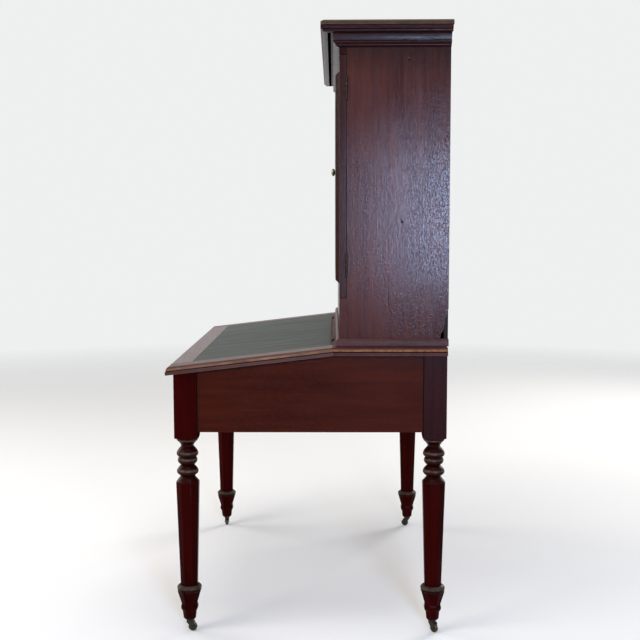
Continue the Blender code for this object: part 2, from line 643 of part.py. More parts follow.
# Waist moulding around the foot of the case, one glued length with mitred corners
waist = [(0.0, 0.0), (0.97, 0.0), (1.0, 0.08), (0.93, 0.66), (0.84, 0.76), (0.40, 1.0), (0.0, 1.0)]
waist = [(max(p * WAIST_PROJECTION, GAP), case_low + h * WAIST_HEIGHT) for p, h in waist]
solid("waist_moulding", skin([
    [(case_half + p, case_back, z) for p, z in waist],
    [(case_half + p, case_front - p, z) for p, z in waist],
    [(-case_half - p, case_front - p, z) for p, z in waist],
    [(-case_half - p, case_back, z) for p, z in waist],
]), mahogany)

# Cornice in three mitred lengths; its profile is (projection, height) from the bottom
cornice = [(0.0, 0.0), (0.02, 0.02), (0.035, 0.08), (0.068, 0.12)]
cornice += [(0.16, 0.20), (0.215, 0.235), (0.26, 0.29)]  # ogee
cornice += [(0.24, 0.30), (0.31, 0.32), (0.33, 0.36), (0.31, 0.40), (0.24, 0.415)]  # bead
cornice += [(0.225, 0.48), (0.225, 0.56), (0.26, 0.64)]  # hollow frieze
cornice += [(0.77, 0.65), (0.84, 0.665), (0.89, 0.695), (0.89, 0.75)]  # soffit and fillet
cornice += [(0.91, 0.80), (0.95, 0.845), (1.0, 0.87), (1.0, 0.945), (0.985, 0.96)]  # hollow and fascia
cornice += [(0.92, 0.965), (0.92, 1.0), (0.0, 1.0)]  # quirk under the cap
cornice_low = cap_low - GAP - CORNICE_HEIGHT
cornice = [(max(p * CORNICE_PROJECTION, GAP), cornice_low + h * CORNICE_HEIGHT) for p, h in cornice]
mitre_left = [(-case_half - p + GAP / 2, case_front - p, z) for p, z in cornice]
mitre_right = [(case_half + p - GAP / 2, case_front - p, z) for p, z in cornice]
solid("cornice_front", skin([mitre_left, mitre_right]), mahogany)
for hand, sign in (("right", 1), ("left", -1)):
    start = [(sign * (case_half + p), case_front - p + GAP, z) for p, z in cornice]
    solid("cornice_return_" + hand, skin([start, [(x, case_back, z) for x, y, z in start]]), mahogany)

# Cap board over the cornice, its upper edge worn round
rings = []
for p, h in ((0.985, 0.0), (1.0, 0.08), (1.0, 0.30), (0.98, 0.50), (0.92, 0.74), (0.84, 0.91), (0.76, 1.0)):
    half = case_half + p * CORNICE_PROJECTION
    plan = rectangle(-half, half, case_front - p * CORNICE_PROJECTION, case_back + CAP_REAR_OVERHANG)
    rings.append(upon("Z", cap_low + h * CAP_THICKNESS, plan))
solid("cornice_cap", skin(rings), mahogany)

# Doors: a grooved frame around a fielded panel, hung on butt hinges at the outer edge
door_back = door_axis_y - DOOR_REVEAL / 4
frame_low, frame_high = door_low + DOOR_REVEAL / 2, door_high - DOOR_REVEAL / 2
meeting = DOOR_REVEAL / 2
middle = (case_front + door_back) / 2
tongue_half = DOOR_TONGUE_THICKNESS / 2
groove_half = tongue_half + GAP
knob_x = meeting + DOOR_STILE / 2
knob_z = door_low + KNOB_HEIGHT
lock_z = knob_z - LOCK_DROP
bolt_y, bolt_z = BOLT_THICKNESS / 2 + RUNNING, BOLT_HEIGHT / 2 + RUNNING


def door_plan(sign, inset_x, inset_z):
    corners = rectangle(meeting + inset_x, case_half - inset_x, frame_low + inset_z, frame_high - inset_z)
    return [(sign * a, b) for a, b in corners]


for hand, sign in (("right", 1), ("left", -1)):
    door_pivot = pivot("door_pivot_" + hand, Matrix.Translation((sign * axis_out, door_axis_y, 0)))
    home = Matrix.Translation((-sign * axis_out, -door_axis_y, 0))
    outer, lip = (0, 0), (DOOR_STILE, DOOR_RAIL)
    bed = (DOOR_STILE - DOOR_GROOVE, DOOR_RAIL - DOOR_GROOVE)
    near, far = middle - groove_half, middle + groove_half
    section = [(case_front, outer), (case_front, lip), (near, lip), (near, bed),
               (far, bed), (far, lip), (door_back, lip), (door_back, outer)]
    rings = [upon("Y", y, door_plan(sign, *inset)) for y, inset in section]
    frame = solid("door_frame_" + hand, placed(hoop(rings), home), mahogany, door_pivot)
    for height in hinge_heights:
        carve(frame, "DIFFERENCE", placed(block(
            sign * leaf_end, sign * (case_half + GAP), door_axis_y - leaf_room, door_back + GAP,
            height - hinge_span, height + hinge_span), home))
    pocket = BOLT_LENGTH if sign > 0 else BOLT_THROW
    carve(frame, "DIFFERENCE", placed(block(
        sign * (meeting - GAP), sign * (meeting + pocket + 2 * RUNNING), middle - bolt_y, middle + bolt_y,
        lock_z - bolt_z, lock_z + bolt_z), home))
    tongue = DOOR_GROOVE - GAP
    section = [(middle + tongue_half, -tongue), (middle - tongue_half, -tongue), (middle - tongue_half, GAP),
               (case_front, GAP), (case_front - PANEL_RISE, PANEL_BEVEL)]
    rings = [upon("Y", y, door_plan(sign, DOOR_STILE + grow, DOOR_RAIL + grow)) for y, grow in section]
    solid("door_panel_" + hand, placed(skin(rings), home), mahogany, door_pivot)
    upright = Matrix(((0, 0, sign, 0), (0, 1, 0, 0), (-sign, 0, 0, 0), (0, 0, 0, 1)))
    for level, height in zip(("lower", "upper"), hinge_heights):
        end = "leaf_" + hand + "_" + level
        fixed = Matrix.Translation((sign * axis_out, door_axis_y, height)) @ upright
        hinge_leaf("door_hinge_case_" + end, DOOR_HINGE_LENGTH, DOOR_HINGE_LEAF, 1, fixed)
        hinge_leaf("door_hinge_door_" + end, DOOR_HINGE_LENGTH, DOOR_HINGE_LEAF, -1,
                   Matrix.Translation((0, 0, height)) @ upright, door_pivot)

# Knob, escutcheon and lock bolt on the right door's meeting stile
right_door = bpy.data.objects["door_pivot_right"]
home = Matrix.Translation((-axis_out, -door_axis_y, 0))
knob_profile = [(0.92, 0.0), (0.92, 0.08), (0.72, 0.14), (0.40, 0.22), (0.36, 0.40), (0.55, 0.52)]
for k in range(5):
    t = math.pi / 2 * k / 4
    knob_profile.append((0.25 + 0.75 * math.cos(t), 0.72 + 0.28 * math.sin(t)))
knob = turned([(r * KNOB_RADIUS, -h * KNOB_REACH) for r, h in knob_profile], 16, "Y")
knob_place = home @ Matrix.Translation((knob_x, case_front - GAP, knob_z))
solid("door_knob", placed(knob, knob_place), brass, right_door)

plate_place = home @ Matrix.Translation((knob_x, case_front - GAP, lock_z))
oval = [(0.55 * KNOB_RADIUS * a, KNOB_RADIUS * b) for a, b in circle(1, 20)]
plate = solid("escutcheon", placed(prism("Y", oval, -PLATE, 0), plate_place), brass, right_door)
slit, eye = KNOB_RADIUS / 11, KNOB_RADIUS / 5.5
keyhole = [(-slit, -3 * eye), (slit, -3 * eye)]
for k in range(9):
    t = math.radians(-60 + 300 * k / 8)
    keyhole.append((eye * math.cos(t), eye + eye * math.sin(t)))
carve(plate, "DIFFERENCE", placed(prism("Y", keyhole, -2 * PLATE, PLATE), plate_place))

solid("lock_bolt", placed(block(
    meeting, meeting + BOLT_LENGTH, middle - BOLT_THICKNESS / 2, middle + BOLT_THICKNESS / 2,
    lock_z - BOLT_HEIGHT / 2, lock_z + BOLT_HEIGHT / 2), home), brass, right_door)
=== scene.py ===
"""Looks of the postmaster desk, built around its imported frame. In metres: front -Y, right +X, up +Z."""

import json
import math

import bmesh
import bpy
from mathutils import Matrix, Vector


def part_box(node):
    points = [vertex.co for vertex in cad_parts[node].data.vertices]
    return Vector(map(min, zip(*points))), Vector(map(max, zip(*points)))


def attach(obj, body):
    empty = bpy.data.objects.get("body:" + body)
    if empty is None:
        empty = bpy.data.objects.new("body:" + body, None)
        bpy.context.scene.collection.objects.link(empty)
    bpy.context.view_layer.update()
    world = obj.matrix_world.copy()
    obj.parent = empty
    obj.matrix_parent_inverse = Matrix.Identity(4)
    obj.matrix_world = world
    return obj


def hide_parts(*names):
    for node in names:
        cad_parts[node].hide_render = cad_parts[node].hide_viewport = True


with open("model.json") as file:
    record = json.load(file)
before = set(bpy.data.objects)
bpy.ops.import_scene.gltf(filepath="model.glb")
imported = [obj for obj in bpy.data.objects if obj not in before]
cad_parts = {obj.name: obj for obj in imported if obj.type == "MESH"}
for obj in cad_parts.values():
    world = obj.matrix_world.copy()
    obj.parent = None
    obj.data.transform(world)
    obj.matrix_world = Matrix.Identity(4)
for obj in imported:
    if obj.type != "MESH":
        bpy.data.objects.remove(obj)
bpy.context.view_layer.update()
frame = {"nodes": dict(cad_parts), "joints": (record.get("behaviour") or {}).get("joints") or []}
scene = bpy.context.scene
scene.view_settings.view_transform = "Standard"


# Legs
# Each leg is one length of mahogany: a square post, turned rings, and a planed octagonal shaft and foot.
# The maker planed the facets, then cut the rings and the round collar on a lathe.
# The aprons are tenoned into the post.
CORNERS = ("front_right", "front_left", "rear_right", "rear_left")
LEG_STOCK = 0.064
OCTAGON, SQUARE = 8, 4
UNCUT = 1.0                             # a radius beyond the stock's corners: the lathe took nothing
FOOT_LENGTH = 0.081
COLLAR_LENGTH = 0.019
SHAFT_LENGTH = 0.297
TURNING_LENGTH = 0.124
TURNED_PARTS = ((0.120, 0.1385), (0.4365, 0.5596))      # heights of the collar and the rings
POST_LOW = TURNED_PARTS[1][1]
SHAFT_HALVES = (0.364, 0.492)           # half widths below and above, like all radii as parts of the stock
RING_NECKS = ((0.14, 0.300), (0.39, 0.280), (0.58, 0.376), (0.82, 0.278))   # (part of the length, radius)
RING_CROWNS = ((0.245, 0.480), (0.50, 0.434), (0.65, 0.480))
POST_END = (                            # (height above the neck, turned radius) where the square post begins
    (0.0, 0.278), (0.0015, 0.281), (0.0035, 0.295), (0.006, 0.322), (0.009, 0.360), (0.012, 0.402),
    (0.0136, 0.428), (0.0144, 0.440), (0.0148, 0.446), (0.0156, 0.456), (0.0168, 0.461), (0.018, 0.456),
    (0.0188, 0.446), (0.0192, 0.450), (0.0196, 0.470), (0.0202, 0.500), (0.0214, 0.550), (0.0228, 0.610),
    (0.0244, 0.670), (0.0256, 0.712))
NECK_HEIGHT = 0.838                     # of the turning's length
PAINTED_RING_HIGHLIGHTS = (0.4702, 0.5014, 0.5204, 0.5567)       # heights of the painted highlights on the rings' upper sides
RING_HIGHLIGHT_BAND = (0.0046, 0.0004)            # how far from its height a painted highlight begins and is full
COLLAR_TOP_HIGHLIGHT = (0.1275, 0.1300, 0.1375, 0.1390)      # where the painted highlight on the collar's top begins, is full, fades, ends
TOP_CUT = 0.02                          # the post's sloped end lies within this of its highest corner
TURNED, UNPOLISHED, REAR_SHEEN = 1, 2, 3     # the finishes that follow the leg's own
FACING = 0.7                            # how squarely an unpolished face looks inwards
TURNING_STEPS = 7
FACET_TURNS = (-21.6, -20.0, -14.0, -7.0, -0.8, 0.8, 7.0, 14.0, 20.0, 21.6)  # degrees, close at the arrises


def put(tree, kind, values=(), **settings):
    """Add a shader node. Values are constants, or outputs of other nodes, by socket."""
    node = tree.nodes.new("ShaderNode" + kind)
    for name, value in settings.items():
        setattr(node, name, value)
    for socket, value in dict(values).items():
        if isinstance(value, bpy.types.NodeSocket):
            tree.links.new(value, node.inputs[socket])
        else:
            node.inputs[socket].default_value = value
    return node


def worked(tree, how, a, b=0.5, c=0.5):
    """One step of arithmetic on values."""
    return put(tree, "Math", {0: a, 1: b, 2: c}, operation=how).outputs[0]


def between(tree, value, low, high, start=0.0, end=1.0):
    """The range low to high laid onto start to end, and held there."""
    span = {"Value": value, "From Min": low, "From Max": high, "To Min": start, "To Max": end}
    return put(tree, "MapRange", span).outputs[0]


def mixed(tree, share, a, b, how="MIX"):
    """Two colours blended; b shows where the share is 1."""
    return put(tree, "Mix", {0: share, 6: a, 7: b}, data_type="RGBA", blend_type=how).outputs[2]


def noise(tree, vector, scale, detail=3.0, rough=0.5, stretch=(1, 1, 1)):
    """Cloudy values; a stretch below 1 draws them out along that direction."""
    spread = put(tree, "VectorMath", {0: vector, 1: stretch}, operation="MULTIPLY").outputs[0]
    values = {"Vector": spread, "Scale": scale, "Detail": detail, "Roughness": rough}
    return put(tree, "TexNoise", values).outputs[0]


def shader_group(name, inputs, outputs):
    """An empty node group with its sockets, and the ends of its wires."""
    group = bpy.data.node_groups.new(name, "ShaderNodeTree")
    for label, kind in inputs:
        group.interface.new_socket(label, in_out="INPUT", socket_type="NodeSocket" + kind)
    for label in outputs:
        group.interface.new_socket(label, in_out="OUTPUT", socket_type="NodeSocketFloat")
    given = group.nodes.new("NodeGroupInput").outputs
    made = group.nodes.new("NodeGroupOutput").inputs
    return group, given, made


def use(tree, group, values):
    """Place a node group in a material."""
    return put(tree, "Group", values, node_tree=group).outputs


# Grain: broad bands, fine fibres and short open pores, all running along the vector's own X
GRAIN = (       # name, scale, detail, stretch, and the noise at which it begins and is full
    ("Bands", 60, 3.0, (0.045, 1, 1), 0.32, 0.70), ("Fibre", 420, 2.0, (0.018, 1, 1), 0.30, 0.72),
    ("Pores", 1300, 1.0, (0.05, 1, 1), 0.60, 0.70), ("Cloud", 7, 3.0, (0.45, 1, 1), 0.35, 0.68))
GRAIN_SWAY = 0.035
wood_grain, given, made = shader_group("wood grain", [("Vector", "Vector")], [field[0] for field in GRAIN])
bend = noise(wood_grain, given["Vector"], 5.0, 2.0, 0.5, (0.5, 1, 1))
sway = put(wood_grain, "CombineXYZ", {1: worked(wood_grain, "MULTIPLY", bend, GRAIN_SWAY)}).outputs[0]
swayed = put(wood_grain, "VectorMath", {0: given["Vector"], 1: sway}, operation="ADD").outputs[0]
for label, scale, detail, stretch, low, high in GRAIN:
    field = noise(wood_grain, swayed, scale, detail, 0.55, stretch)
    wood_grain.links.new(between(wood_grain, field, low, high), made[label])

# Wear: arrises rubbed through to bare wood, and corners darkened by grime and painted shade
edge_wear, given, made = shader_group(
    "edge wear", [("Vector", "Vector"), ("Reach", "Float"), ("Breakup", "Float")], ["Worn", "Grime and Shade"])
rim = put(edge_wear, "AmbientOcclusion", {"Distance": given["Reach"]},
          inside=True, only_local=True, samples=6)
patches = noise(edge_wear, given["Vector"], given["Breakup"], 4.0, 0.6)
rubbed = worked(edge_wear, "SUBTRACT", 1.0, rim.outputs["AO"])
uneven = worked(edge_wear, "MULTIPLY_ADD", patches, 0.9, -0.45)
edge_wear.links.new(between(edge_wear, worked(edge_wear, "ADD", rubbed, uneven), 0.22, 0.62), made["Worn"])
# Painted shade and grime: concave corners darkened from the piece's own ambient occlusion
deep_reach = worked(edge_wear, "MULTIPLY", given["Reach"], 3.0)
nook = put(edge_wear, "AmbientOcclusion", {"Distance": deep_reach}, only_local=True, samples=6)
edge_wear.links.new(between(edge_wear, nook.outputs["AO"], 0.95, 0.45), made["Grime and Shade"])

# Crazing: old varnish shrunk into small plates, drawn out along the grain
crazed_varnish, given, made = shader_group(
    "crazed varnish", [("Vector", "Vector"), ("Scale", "Float")], ["Cracks", "Orange Peel"])
plates = put(crazed_varnish, "VectorMath", {0: given["Vector"], 1: (0.45, 1, 1)},
             operation="MULTIPLY").outputs[0]
cells = put(crazed_varnish, "TexVoronoi", {"Vector": plates, "Scale": given["Scale"]},
            feature="DISTANCE_TO_EDGE")
crazed_varnish.links.new(between(crazed_varnish, cells.outputs["Distance"], 0.07, 0.0), made["Cracks"])
coarser = worked(crazed_varnish, "MULTIPLY", given["Scale"], 0.6)
ripples = noise(crazed_varnish, plates, coarser, 3.0, 0.6, (0.6, 1, 1))
crazed_varnish.links.new(ripples, made["Orange Peel"])


def laid_along(tree, parts, along):
    """A place turned so that the board's length is its X."""
    order = {"X": (0, 1, 2), "Y": (1, 0, 2), "Z": (2, 0, 1)}[along]
    return put(tree, "CombineXYZ", {k: parts[axis] for k, axis in enumerate(order)}).outputs[0]


def new_finish(name):
    """A new material, with its nodes, its shader and the place on the piece."""
    finish = bpy.data.materials.new(name)
    finish.use_nodes = True
    tree = finish.node_tree
    return finish, tree, tree.nodes["Principled BSDF"], put(tree, "TexCoord").outputs["Object"]


def glazed(tree, tone, share, strength, colour):
    """A colour laid over a tone, as strongly as the share and the strength say."""
    return mixed(tree, worked(tree, "MULTIPLY", share, strength), tone, (*colour, 1))


def finished(tree, shader, tone, dull, height, strength, depth):
    """Give a shader its tone, its dullness, and relief of some depth."""
    relief = put(tree, "Bump", {"Height": height, "Strength": strength, "Distance": depth})
    for socket, value in (("Base Color", tone), ("Roughness", dull), ("Normal", relief.outputs[0])):
        tree.links.new(value, shader.inputs[socket])


WEAR_PATCHES = 45.0         # to a metre
CRAZING = 190.0             # plates to a metre
PORE_BLACK = (0.004, 0.001, 0.0008)
DIRT_AND_SHADE = (0.004, 0.0016, 0.0013)
GAP_AND_SHADE_BLACK = (0.003, 0.0015, 0.0012)


def mahogany(name, along, deep, bright, worn, wear, rough, specular, craze=0.0, reach=0.0035,
             across=None, handled=None, crazed=None, dirt_and_shade=None, marks=()):
    """Old varnished mahogany: deep and bright tones of the grain, a worn tone on the arrises.

    Across is (direction, mask) of members whose grain runs another way. Marks are masks of holes and joints,
    and of painted shade in small steps. Handled, crazed and dirt_and_shade are masks of places made pale by
    wear and by painted highlights, cracked in the varnish, and darkened by painted shade and in places by
    grime."""
    finish, tree, shader, place = new_finish(name)
    parts = put(tree, "SeparateXYZ", {0: place}).outputs
    turned = laid_along(tree, parts, along)
    if across:
        direction, members = across
        both = {0: members(tree, parts), 4: turned, 5: laid_along(tree, parts, direction)}
        turned = put(tree, "Mix", both, data_type="VECTOR").outputs[1]
    grain = use(tree, wood_grain, {"Vector": turned})
    use_marks = use(tree, edge_wear, {"Vector": place, "Reach": reach, "Breakup": WEAR_PATCHES})
    varnish = use(tree, crazed_varnish, {"Vector": turned, "Scale": CRAZING})

    clouds = worked(tree, "MULTIPLY", grain["Cloud"], 0.45)
    figure = worked(tree, "MULTIPLY_ADD", grain["Bands"], 0.55, clouds)
    tone = mixed(tree, figure, (*deep, 1), (*bright, 1))
    tone = glazed(tree, tone, grain["Fibre"], 0.35, deep)
    tone = glazed(tree, tone, grain["Pores"], 0.45, PORE_BLACK)
    bare = worked(tree, "MULTIPLY", use_marks["Worn"], wear)
    # Handled places take the worn tone: rubbed wear, and painted highlights on ring shoulders and thumbnails
    if handled:
        uneven = between(tree, noise(tree, turned, 70.0, 4.0, 0.6, (0.3, 1, 1)), 0.30, 0.62, 0.25, 1.0)
        bare = worked(tree, "MAXIMUM", bare, worked(tree, "MULTIPLY", handled(tree, parts), uneven))
    bare = worked(tree, "MULTIPLY", bare, between(tree, grain["Fibre"], 0.0, 1.0, 1.0, 0.55))
    tone = mixed(tree, bare, tone, (*worn, 1))
    # painted shade and grime in the corners
    tone = glazed(tree, tone, use_marks["Grime and Shade"], 0.75, DIRT_AND_SHADE)
    height = worked(tree, "MULTIPLY", grain["Pores"], -0.5)
    height = worked(tree, "MULTIPLY_ADD", grain["Fibre"], -0.22, height)
    cracks = worked(tree, "MULTIPLY", varnish["Cracks"], -1.0)
    plates = worked(tree, "MULTIPLY_ADD", varnish["Orange Peel"], 2.0, cracks)
    if crazed:
        plates = worked(tree, "MULTIPLY", plates, crazed(tree, parts))
    height = worked(tree, "MULTIPLY_ADD", plates, 0.8 * craze, height)
    # painted shade laid by the mask, and grime where the mask also holds it
    if dirt_and_shade:
        tone = mixed(tree, dirt_and_shade(tree, parts), tone, (*DIRT_AND_SHADE, 1))
    # Dark marks: holes, cracks and joints, and painted shade in the steps under mouldings
    dark_marks = [mark(tree, parts) for mark in marks]
    for dark_mark in dark_marks:
        tone = mixed(tree, dark_mark, tone, (*GAP_AND_SHADE_BLACK, 1))
        height = worked(tree, "MULTIPLY_ADD", dark_mark, -1.5, height)

    dull = worked(tree, "MULTIPLY_ADD", grain["Fibre"], 0.10, rough - 0.05)
    dull = worked(tree, "MULTIPLY_ADD", bare, 0.18, dull)
    dull = worked(tree, "MULTIPLY_ADD", use_marks["Grime and Shade"], 0.25, dull)
    for dark_mark in dark_marks:
        dull = worked(tree, "MULTIPLY_ADD", dark_mark, 0.5, dull)
    finished(tree, shader, tone, dull, height, 0.35, 0.0006)
    shader.inputs["Specular IOR Level"].default_value = specular
    return finish


def new_piece(name, bm, finish, sharp=35):
    """A shown piece from a bmesh, smooth but for edges sharper than some degrees."""
    bmesh.ops.recalc_face_normals(bm, faces=bm.faces)
    mesh = bpy.data.meshes.new(name)
    bm.to_mesh(mesh)
    bm.free()
    mesh.materials.append(finish)
    mesh.shade_smooth()
    mesh.set_sharp_from_angle(angle=math.radians(sharp))
    piece = bpy.data.objects.new(name, mesh)
    scene.collection.objects.link(piece)
    return piece


def skin(rings, closed=False, bm=None):
    """Faces over rings of equally many points, either capped at both ends or run round in a loop."""
    bm = bm or bmesh.new()
    rows = [[bm.verts.new(point) for point in ring] for ring in rings]
    following = rows[1:] + rows[:1] if closed else rows[1:]
    for low, high in zip(rows, following):
        for i in range(len(low)):
            j = (i + 1) % len(low)
            bm.faces.new((low[i], low[j], high[j], high[i]))
    if not closed:
        bm.faces.new(rows[0])
        bm.faces.new(rows[-1])
    return bm


def swell(neck, crown, rising=True, fullness=2.0):
    """Points between a neck and a crown, each (height, radius): 2 is a full curve, 1 a straight slope."""
    points = []
    for k in range(1, TURNING_STEPS + 1):
        away = 1 - k / TURNING_STEPS if rising else k / TURNING_STEPS
        radius = neck[1] + (crown[1] - neck[1]) * (1 - away ** fullness)
        points.append((crown[0] + (neck[0] - crown[0]) * away, radius))
    return points


def leg_profile(foot_end):
    """(height, sides, half width, turned radius) from the foot's end to the post, as parts of the stock."""
    ankle, knuckle, hollow = (0.29, 0.313), (0.395, 0.370), (0.53, 0.336)
    foot = [(0.0, 0.260), (0.012, 0.268), (0.25, 0.296), ankle]
    foot += swell(ankle, knuckle) + swell(hollow, knuckle, False) + [(1.0, 0.505)]
    profile = [(foot_end + h * FOOT_LENGTH, OCTAGON, w, UNCUT) for h, w in foot]
    collar_low = foot_end + FOOT_LENGTH
    quirk, roll, collar_end = (0.29, 0.513), (0.50, 0.545), (0.96, 0.412)
    collar = [(0.04, 0.516), (0.10, 0.530), (0.20, 0.530), (0.25, 0.514), quirk]
    collar += swell(quirk, roll) + swell(collar_end, roll, False)
    profile += [(collar_low + h * COLLAR_LENGTH, OCTAGON, UNCUT, r) for h, r in collar]
    shaft_low = collar_low + COLLAR_LENGTH
    shaft_high = shaft_low + SHAFT_LENGTH
    narrow, wide = SHAFT_HALVES
    profile += [(shaft_low, OCTAGON, narrow, UNCUT), (shaft_high, OCTAGON, wide, UNCUT)]
    rings = [(0.012, 0.515)] + swell(RING_NECKS[0], (0.026, wide), False, 0.9)
    for low, crown, high in zip(RING_NECKS, RING_CROWNS, RING_NECKS[1:]):
        rings += swell(low, crown) + swell(high, crown, False, 1.75)
    profile += [(shaft_high + h * TURNING_LENGTH, OCTAGON, wide, r) for h, r in rings]
    neck = shaft_high + NECK_HEIGHT * TURNING_LENGTH
    return profile + [(neck + h, SQUARE, 0.5, r) for h, r in POST_END]


def painted_highlights(tree, parts):
    """Painted highlights on the upper sides of the turned rings and on the collar's top."""
    level = parts[2]
    nearest = 1.0
    for shoulder in PAINTED_RING_HIGHLIGHTS:
        away = worked(tree, "ABSOLUTE", worked(tree, "SUBTRACT", level, shoulder))
        nearest = worked(tree, "MINIMUM", nearest, away)
    ring = between(tree, nearest, *RING_HIGHLIGHT_BAND, 0.0, 0.9)
    start, full, fading, end = COLLAR_TOP_HIGHLIGHT
    upper = between(tree, level, end, fading, 0.0, 0.5)
    collar = worked(tree, "MULTIPLY", between(tree, level, start, full), upper)
    return worked(tree, "MAXIMUM", ring, collar)


leg_wood = mahogany("leg mahogany", "Z", deep=(0.012, 0.0003, 0.0002), bright=(0.036, 0.0014, 0.0008),
                    worn=(0.060, 0.032, 0.020), wear=0.22, rough=0.24, specular=0.012)
# The worn tone of the turned parts is also the colour of their painted highlights.
turned_wood = mahogany("turned mahogany", "Z", deep=(0.010, 0.0005, 0.0004), bright=(0.029, 0.0020, 0.0012),
                       worn=(0.102, 0.082, 0.054), wear=0.10, rough=0.18, specular=0.05, handled=painted_highlights)
inner_wood = mahogany("inner post mahogany", "Z",
                      deep=(0.012, 0.0008, 0.0006), bright=(0.030, 0.0022, 0.0014),
                      worn=(0.050, 0.028, 0.018), wear=0.15, rough=0.60, specular=0.0)
# Painted sheen: a bluish-grey copy of the post's tone, standing in for a window reflected in the rear posts
rear_sheen_wood = mahogany("faded post mahogany", "Z",
                      deep=(0.011, 0.0022, 0.0023), bright=(0.034, 0.0072, 0.0074),
                      worn=(0.060, 0.036, 0.027), wear=0.25, rough=0.30, specular=0.035)
turns = [math.radians(360 / OCTAGON * facet + turn) for facet in range(OCTAGON) for turn in FACET_TURNS]
for corner in CORNERS:
    node = "leg_" + corner
    low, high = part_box(node)
    middle = (low + high) / 2
    rings = []
    for height, sides, half, radius in leg_profile(low.z):
        sector = 2 * math.pi / sides
        ring = []
        for turn in turns:
            off = (turn + sector / 2) % sector - sector / 2
            out = LEG_STOCK * min(half / math.cos(off), radius)
            ring.append((middle.x + out * math.cos(turn), middle.y + out * math.sin(turn), height))
        rings.append(ring)
    top = [(v.co.y, v.co.z) for v in frame["nodes"][node].data.vertices if v.co.z > high.z - TOP_CUT]
    near, far = min(top), max(top)
    rise = (far[1] - near[1]) / (far[0] - near[0])
    rings.append([(x, y, near[1] + (y - near[0]) * rise) for x, y, z in rings[-1]])
    leg = new_piece(node + "_turned", skin(rings), leg_wood, sharp=30)
    for finish in (turned_wood, inner_wood, rear_sheen_wood):
        leg.data.materials.append(finish)
    for face in leg.data.polygons:
        level = face.center.z
        inward_x = -face.normal.x * math.copysign(1, middle.x)
        inward_y = -face.normal.y * math.copysign(1, middle.y)
        if any(start < level < end for start, end in TURNED_PARTS):
            face.material_index = TURNED
        elif level > POST_LOW and max(inward_x, inward_y) > FACING:
            face.material_index = UNPOLISHED        # it is under the desk
        elif level > POST_LOW and "rear" in corner:
            face.material_index = REAR_SHEEN             # painted sheen: a bluish-grey tone on the rear posts stands in for a reflected window
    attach(leg, "desk")
    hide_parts(node)


# Casters
# Small brass wheels run in iron forks, which swivel under an iron plate on each foot.
# The plate is a turned casting held by its pintle; a riveted axle carries the wheel.
CASTER_STEPS = 40
WHEEL_WIDTH = 0.010
AXLE_HOLE = 0.0024
AXLE_EASE = 0.0004
# One side of the wheel from boss to rim: (radius, half width) as parts of its own
WHEEL_SIDE = ((0.40, 0.50), (0.44, 0.48), (0.50, 0.36), (0.76, 0.36), (0.81, 0.48), (0.85, 0.50))
TYRE_FLAT = 0.28            # half width at the rim
TYRE_STEPS = 6
METAL_DIRT_AND_SHADE = (0.008, 0.006, 0.004)
WELD_WITHIN = 0.00001
FLAT_WITHIN = math.radians(0.4)     # faces as near to flat as this are joined
ARRIS = math.radians(28)            # edges sharper than this are eased


def aged_metal(name, fresh, tarnish, rough, spots):
    """Old metal: tarnished in patches, rubbed bright on the edges, darkened in the corners by grime and
    painted shade.
    """
    finish, tree, shader, place = new_finish(name)
    patches = between(tree, noise(tree, place, spots, 5.0, 0.6), 0.38, 0.62)
    marks = use(tree, edge_wear, {"Vector": place, "Reach": 0.0012, "Breakup": 300.0})
    tone = mixed(tree, patches, (*fresh, 1), (*tarnish, 1))
    tone = glazed(tree, tone, marks["Worn"], 0.6, fresh)
    tone = glazed(tree, tone, marks["Grime and Shade"], 0.8, METAL_DIRT_AND_SHADE)
    dull = worked(tree, "MULTIPLY_ADD", patches, 0.25, rough)
    dull = worked(tree, "MULTIPLY_ADD", marks["Grime and Shade"], 0.2, dull)
    scratches = noise(tree, place, 1600.0, 2.0, 0.6, (1, 0.15, 1))
    pits = worked(tree, "MULTIPLY_ADD", patches, 0.6, worked(tree, "MULTIPLY", scratches, 0.3))
    finished(tree, shader, tone, dull, pits, 0.25, 0.0003)
    shader.inputs["Metallic"].default_value = 1.0
    return finish


wheel_brass = aged_metal("wheel brass", (0.125, 0.092, 0.055), (0.024, 0.018, 0.013), 0.32, 240.0)
dark_iron = aged_metal("dark iron", (0.055, 0.050, 0.046), (0.015, 0.012, 0.010), 0.45, 380.0)


def circle(radius, steps):
    """Points around a circle, none of them on its axes."""
    turns = [2 * math.pi * (k + 0.5) / steps for k in range(steps)]
    return [(radius * math.cos(t), radius * math.sin(t)) for t in turns]


def lathe(profile, steps, closed=False):
    """A bmesh turned about Y from (radius, distance along Y) points."""
    return skin([[(a, y, b) for a, b in circle(r, steps)] for r, y in profile], closed)


def settle(node, kind, *steps):
    """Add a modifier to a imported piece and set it."""
    step = frame["nodes"][node].modifiers.new(kind.lower(), kind)
    for name, value in steps:
        setattr(step, name, value)


def dress(node, finish, ease=0.0, joined=True):
    """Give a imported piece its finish, join its flat faces whole, and rub its edges back by some width."""
    slots = frame["nodes"][node].data.materials
    slots.clear()
    slots.append(finish)
    settle(node, "WELD", ("merge_threshold", WELD_WITHIN))
    if joined:
        settle(node, "DECIMATE", ("decimate_type", "DISSOLVE"), ("angle_limit", FLAT_WITHIN))
    if ease:
        settle(node, "BEVEL", ("width", ease), ("segments", 2), ("limit_method", "ANGLE"),
               ("angle_limit", ARRIS), ("use_clamp_overlap", False))
    settle(node, "WEIGHTED_NORMAL", ("keep_sharp", False))


